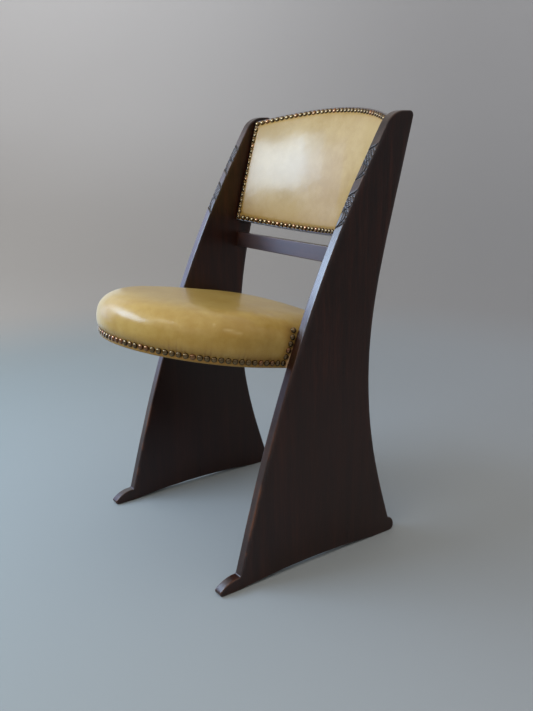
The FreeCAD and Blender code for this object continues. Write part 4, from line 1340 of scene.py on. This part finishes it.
def aged_brass():
    finish, tree, shader, place = new_finish("brass_aged")
    high = stored(tree, "dome")
    dirt = noise(tree, place, scale=900.0, detail=4.0, rough=0.65)
    crown, foot = in_range(tree, high, 0.5, 0.95), in_range(tree, high, 0.5, 0.1)
    # Wear and a painted highlight: a lighter crown on each dome.
    colour = blend_colour(tree, times(tree, crown, 0.24), ramp(tree, stored(tree, "tone"), TARNISH), CROWN_WEAR_AND_HIGHLIGHT)
    # Dirt and painted shade round the foot of each dome.
    dirt_and_shade = times(tree, foot, in_range(tree, dirt, 0.3, 0.6, to_low=0.65, to_high=1.0), True)
    feed(tree, blend_colour(tree, dirt_and_shade, colour, NAIL_DIRT_AND_SHADE), shader.inputs["Base Color"])
    feed(tree, in_range(tree, dirt_and_shade, 0.0, 1.0, to_low=1.0, to_high=0.35), shader.inputs["Metallic"])
    feed(tree, plus(tree, times(tree, dirt, 0.12), 0.06), shader.inputs["Roughness"])
    shader.inputs["Coat Weight"].default_value = 0.3
    shader.inputs["Coat Roughness"].default_value = 0.06
    raised(tree, shader, dirt, strength=0.05, distance=0.0003)
    return finish


brass = aged_brass()
for piece in brass_pieces:
    piece.data.materials.append(brass)
print("brass finish", brass.name)

# %% [markdown]
# The hidden pieces are real too: beech rails, jute webbing, hessian, hair stuffing and steel screws.
# Nobody sees them closely, so each keeps its engineering mesh and only takes a finish. Threads could be
# modelled one by one. Two crossed waves give the same look, and all the cloths share one group of them.

# %% Weave
def weave():
    group, given, out = new_group("plain_weave", [("Vector", "NodeSocketVector", None),
                                                  ("Threads", "NodeSocketFloat", 900.0)], ["Thread", "Fuzz"])
    place, threads = axes(group, given.outputs["Vector"]), given.outputs["Threads"]
    along, across = (maths(group, "SINE", times(group, place[axis], threads)) for axis in ("X", "Y"))
    feed(group, in_range(group, times(group, along, across), -1.0, 1.0), out.inputs["Thread"])
    feed(group, noise(group, given.outputs["Vector"], scale=600.0, detail=4.0, rough=0.6), out.inputs["Fuzz"])
    return group


weave_group = weave()


def woven(name, pale, dark, threads):
    finish, tree, shader, place = new_finish(name)
    threaded = placed_group(tree, weave_group, Vector=place, Threads=threads)
    share = plus(tree, times(tree, threaded["Thread"], 0.65), times(tree, threaded["Fuzz"], 0.35))
    feed(tree, blend_colour(tree, share, dark, pale), shader.inputs["Base Color"])
    feed(tree, in_range(tree, threaded["Fuzz"], 0.0, 1.0, to_low=0.75, to_high=0.95), shader.inputs["Roughness"])
    raised(tree, shader, share, strength=0.5, distance=0.0006)
    return finish


jute = woven("jute_webbing_weave", (0.5, 0.38, 0.23), (0.26, 0.18, 0.1), 1700.0)
hessian = woven("hessian_weave", (0.46, 0.35, 0.21), (0.24, 0.17, 0.095), 1300.0)
black_cloth = woven("dust_cloth_weave", (0.05, 0.042, 0.038), (0.014, 0.012, 0.011), 2600.0)
cloth.data.materials.append(black_cloth)
print("woven finishes", jute.name, hessian.name, black_cloth.name)

# %% Beech, steel and hair
BEECH, BEECH_PORE, BEECH_RUN = ((0.3, 0.17, 0.085), (0.5, 0.34, 0.2)), (0.2, 0.11, 0.06), (30.0, 30.0, 60.0)
STEEL = ((0.2, 0.18, 0.16), (0.46, 0.45, 0.43))
HAIR, HAIR_RUN = ((0.12, 0.085, 0.055), (0.34, 0.26, 0.17)), (220.0, 60.0, 220.0)


def bare_beech():
    finish, tree, shader, place = new_finish("beech_bare")
    grain = placed_group(tree, streaks_group, Vector=stretched(tree, place, BEECH_RUN))
    colour = blend_colour(tree, grain["Streak"], *BEECH)
    colour = blend_colour(tree, times(tree, grain["Pores"], 0.5), colour, BEECH_PORE)
    feed(tree, colour, shader.inputs["Base Color"])
    feed(tree, in_range(tree, grain["Streak"], 0.2, 0.8, to_low=0.5, to_high=0.7), shader.inputs["Roughness"])
    raised(tree, shader, grain["Height"], strength=0.2, distance=0.0005)
    return finish


def dull_steel():
    finish, tree, shader, place = new_finish("steel_dull")
    spots = noise(tree, place, scale=400.0, detail=5.0, rough=0.65)
    feed(tree, blend_colour(tree, spots, *STEEL), shader.inputs["Base Color"])
    feed(tree, in_range(tree, spots, 0.2, 0.8, to_low=0.55, to_high=0.35), shader.inputs["Roughness"])
    shader.inputs["Metallic"].default_value = 1.0
    return finish


def matted_hair():
    finish, tree, shader, place = new_finish("hair_matted")
    strands = noise(tree, stretched(tree, place, HAIR_RUN), scale=2.0, detail=6.0, rough=0.7)
    feed(tree, blend_colour(tree, strands, *HAIR), shader.inputs["Base Color"])
    feed(tree, in_range(tree, strands, 0.0, 1.0, to_low=0.8, to_high=0.95), shader.inputs["Roughness"])
    raised(tree, shader, strands, strength=0.6, distance=0.001)
    return finish


by_slot = {"jute_webbing": jute, "hessian": hessian, "beech": bare_beech(), "screw_steel": dull_steel(),
           "stuffing": matted_hair(), "dark_oak": level_oak, "ochre_leather": back_leather, "aged_brass": brass,
           "dust_cloth": black_cloth}
for part in frame["record"]["subparts"]:
    mesh = frame["nodes"][part["node"]].data
    mesh.materials.clear()
    mesh.materials.append(by_slot[part["material_slot"]])

# %% [markdown]
# ## Stage, light and camera
#
# The photograph was taken on a paper sweep beside a window. A curved wall would do for one view. A wide,
# shallow bowl has the paper curve up behind the chair from any side. The window's light on the paper, cool
# on the floor and pale high up on the window's side, is painted into the paper's colour by its place on the
# bowl, and the paper gives off a painted glow that is seen by the camera and in reflections.

# %% Stage
BOWL = [(0.5, 0.0), (0.9, 0.0), (1.1, 0.004), (1.35, 0.03), (1.6, 0.09), (1.9, 0.22), (2.2, 0.42), (2.5, 0.72),
        (2.75, 1.1), (2.95, 1.6), (3.05, 2.2), (3.1, 3.0)]
BOWL_SIDES = 96


def paper_bowl():
    turns = [2.0 * math.pi * k / BOWL_SIDES for k in range(BOWL_SIDES)]
    points = [(r * math.cos(turn), r * math.sin(turn), z) for r, z in BOWL for turn in turns]
    faces = grid_faces(len(BOWL), BOWL_SIDES, closed_columns=True)
    faces += [(b, a, tip) for a, b, tip in fan(0, BOWL_SIDES, len(points))]
    mesh = bpy.data.meshes.new("paper_sweep")
    mesh.from_pydata(points + [(0.0, 0.0, 0.0)], [], faces)
    mesh.polygons.foreach_set("use_smooth", [True] * len(mesh.polygons))
    bowl = bpy.data.objects.new("paper_sweep", mesh)
    bpy.context.scene.collection.objects.link(bowl)
    return bowl


bowl = paper_bowl()
print("paper sweep", len(bowl.data.polygons), "faces")

# %% Paper
# Painted light on the paper, each pair left and right: lighter on the window's side and high up, cooler on the floor.
# The last pair is a painted glow.
FLOOR_PAINTED_LIGHT = ((0.272, 0.318, 0.335), (0.332, 0.352, 0.376))
LOW_WALL_PAINTED_LIGHT = ((0.39, 0.37, 0.35), (0.305, 0.305, 0.312))
HIGH_WALL_PAINTED_LIGHT = ((0.79, 0.8, 0.83), (0.47, 0.475, 0.49))
PAPER_PAINTED_GLOW = ((0.13, 0.138, 0.15), (0.028, 0.028, 0.032))
NO_GLOW = (0.0, 0.0, 0.0)
RIGHT_X, RIGHT_Y, HALF_SPAN = 0.573, 0.819, 1.2


def paper_with_painted_light():
    """Grey paper painted with light, cooler on the floor and paler high up on the window's side. Each pair is left and
    right.
    """
    paper, tree, shader, place = new_finish("paper_grey_painted_light")
    spot = axes(tree, place)
    sideways = plus(tree, times(tree, spot["X"], RIGHT_X), times(tree, spot["Y"], RIGHT_Y))
    to_right = in_range(tree, sideways, -HALF_SPAN, HALF_SPAN)
    # Painted light: the colour follows where the window's light falls on the bowl.
    floor, low, high, glow = (blend_colour(tree, to_right, *pair)
                              for pair in (FLOOR_PAINTED_LIGHT, LOW_WALL_PAINTED_LIGHT, HIGH_WALL_PAINTED_LIGHT, PAPER_PAINTED_GLOW))
    colour = blend_colour(tree, in_range(tree, spot["Z"], 0.0, 0.12), floor, low)
    colour = blend_colour(tree, in_range(tree, spot["Z"], 0.25, 2.2), colour, high)
    feed(tree, colour, shader.inputs["Base Color"])
    # Painted glow: light the paper gives off itself, seen by the camera and in reflections, not by the chair.
    glow = blend_colour(tree, in_range(tree, spot["Z"], 0.05, 0.9), NO_GLOW, glow)
    feed(tree, glow, shader.inputs["Emission Color"])
    ray = put(tree, "ShaderNodeLightPath").outputs
    seen = plus(tree, ray["Is Camera Ray"], ray["Is Glossy Ray"])
    feed(tree, plus(tree, seen, ray["Is Transmission Ray"], True), shader.inputs["Emission Strength"])
    shader.inputs["Roughness"].default_value = 0.9
    shader.inputs["Specular IOR Level"].default_value = 0.1
    return paper


bowl.data.materials.append(paper_with_painted_light())
print("paper finish", bowl.data.materials[0].name)

# %% [markdown]
# The light comes from one soft window with a dimmer strip at its side. Polished wood and leather are lit
# as much by what they mirror as by lamps, and an image of a room could give them that. A few plain panes
# do it with less: a sky pane, two pale walls and a glow of the ceiling are seen in reflections alone. Two
# more soft panes only light the chair, and a weak one overhead fills the shadows.

# %% Lamps
MIRRORED_ONLY = ("sky_pane", "pale_wall", "pale_high", "ceiling_glow")
LIGHT_ONLY = ("soft_left", "soft_front")
LIT_SPOT = Vector((0.0, 0.05, 0.5))
DAYLIGHT = (0.57, 0.755, 1.0)
# Name, azimuth, elevation, distance, width and height, power and colour.
PANES = [
    ("window", 28.0, 28.6, 1.6, (1.06, 0.51), 18.8, DAYLIGHT),
    ("window_side", 54.0, 28.0, 1.6, (0.32, 0.47), 1.7, DAYLIGHT),
    ("sky_pane", 60.0, 11.0, 1.95, (0.95, 1.2), 5.0, (0.4, 0.5, 1.0)),
    ("pale_wall", 80.0, -6.0, 1.25, (1.0, 0.72), 1.7, (0.66, 0.85, 1.0)),
    ("pale_high", 73.0, 26.0, 1.5, (0.9, 0.6), 1.0, (0.8, 0.85, 1.0)),
    ("ceiling_glow", -6.0, 50.0, 2.0, (0.6, 0.4), 3.2, (0.85, 0.93, 1.0)),
    ("soft_left", 58.0, 25.0, 1.8, (1.6, 1.3), 10.6, (0.86, 0.94, 1.0)),
    ("soft_front", -35.0, 28.0, 1.8, (1.35, 1.05), 11.4, (1.0, 0.92, 0.8)),
    ("overhead", 20.0, 72.0, 2.2, (2.0, 2.0), 3.6, (1.0, 0.94, 0.86)),
]


def pane(name, azimuth, elevation, distance, size, power, colour):
    """A rectangular lamp that faces the chair. Azimuth is from straight ahead of the sitter to their right."""
    lamp = bpy.data.lights.new(name, "AREA")
    lamp.shape = "RECTANGLE"
    lamp.size, lamp.size_y = size
    lamp.energy = power
    lamp.color = colour
    a, e = math.radians(azimuth), math.radians(elevation)
    way = Vector((-math.sin(a) * math.cos(e), -math.cos(a) * math.cos(e), math.sin(e)))
    holder = bpy.data.objects.new(name, lamp)
    turn = way.to_track_quat("Z", "Y").to_matrix().to_4x4()
    holder.matrix_world = Matrix.Translation(LIT_SPOT + way * distance) @ turn
    holder.visible_camera = False
    holder.visible_diffuse = name not in MIRRORED_ONLY
    holder.visible_glossy = name not in LIGHT_ONLY
    bpy.context.scene.collection.objects.link(holder)
    return holder


lamps = [pane(*row) for row in PANES]
world = bpy.data.worlds.new("room")
bpy.context.scene.world = world
world.use_nodes = True
world.node_tree.nodes["Background"].inputs["Color"].default_value = (0.85, 0.8, 0.74, 1.0)
world.node_tree.nodes["Background"].inputs["Strength"].default_value = 0.9
print("lamps", [lamp.name for lamp in lamps])

# %% [markdown]
# The camera could be set by eye. Here it was worked out from the photograph: the two panels' outlines fix
# where it stood, its direction and its lens, so every piece falls on the picture where it should.

# %% Camera
YAW, PITCH, ROLL_ANGLE = 55.032, 15.975, -0.659
CAMERA_X, CAMERA_Y, CAMERA_Z = 1.13873, -0.75591, 0.72038
SENSOR, FOCAL_PIXELS, LONG_SIDE_PIXELS, NEAREST = 36.0, 752.66, 711.0, 0.02


def set_camera():
    yaw, pitch, roll = (math.radians(a) for a in (YAW, PITCH, ROLL_ANGLE))
    ahead = Vector((-math.sin(yaw) * math.cos(pitch), math.cos(yaw) * math.cos(pitch), -math.sin(pitch)))
    right = Vector((math.cos(yaw), math.sin(yaw), 0.0))
    up = right.cross(ahead)
    tilted_right = right * math.cos(roll) + up * math.sin(roll)
    tilted_up = up * math.cos(roll) - right * math.sin(roll)
    lens = bpy.data.cameras.new("photo_camera")
    lens.sensor_width = SENSOR
    lens.lens = SENSOR * FOCAL_PIXELS / LONG_SIDE_PIXELS
    lens.clip_start = NEAREST
    camera = bpy.data.objects.new("photo_camera", lens)
    turn = Matrix((tilted_right, tilted_up, -ahead)).transposed()
    place = Vector((CAMERA_X, CAMERA_Y + datum * TO_METRES, CAMERA_Z))
    camera.matrix_world = Matrix.Translation(place) @ turn.to_4x4()
    bpy.context.scene.collection.objects.link(camera)
    bpy.context.scene.camera = camera
    bpy.context.scene.view_settings.view_transform = "Standard"
    return camera


camera = set_camera()
print("camera at", [round(c, 3) for c in camera.location])
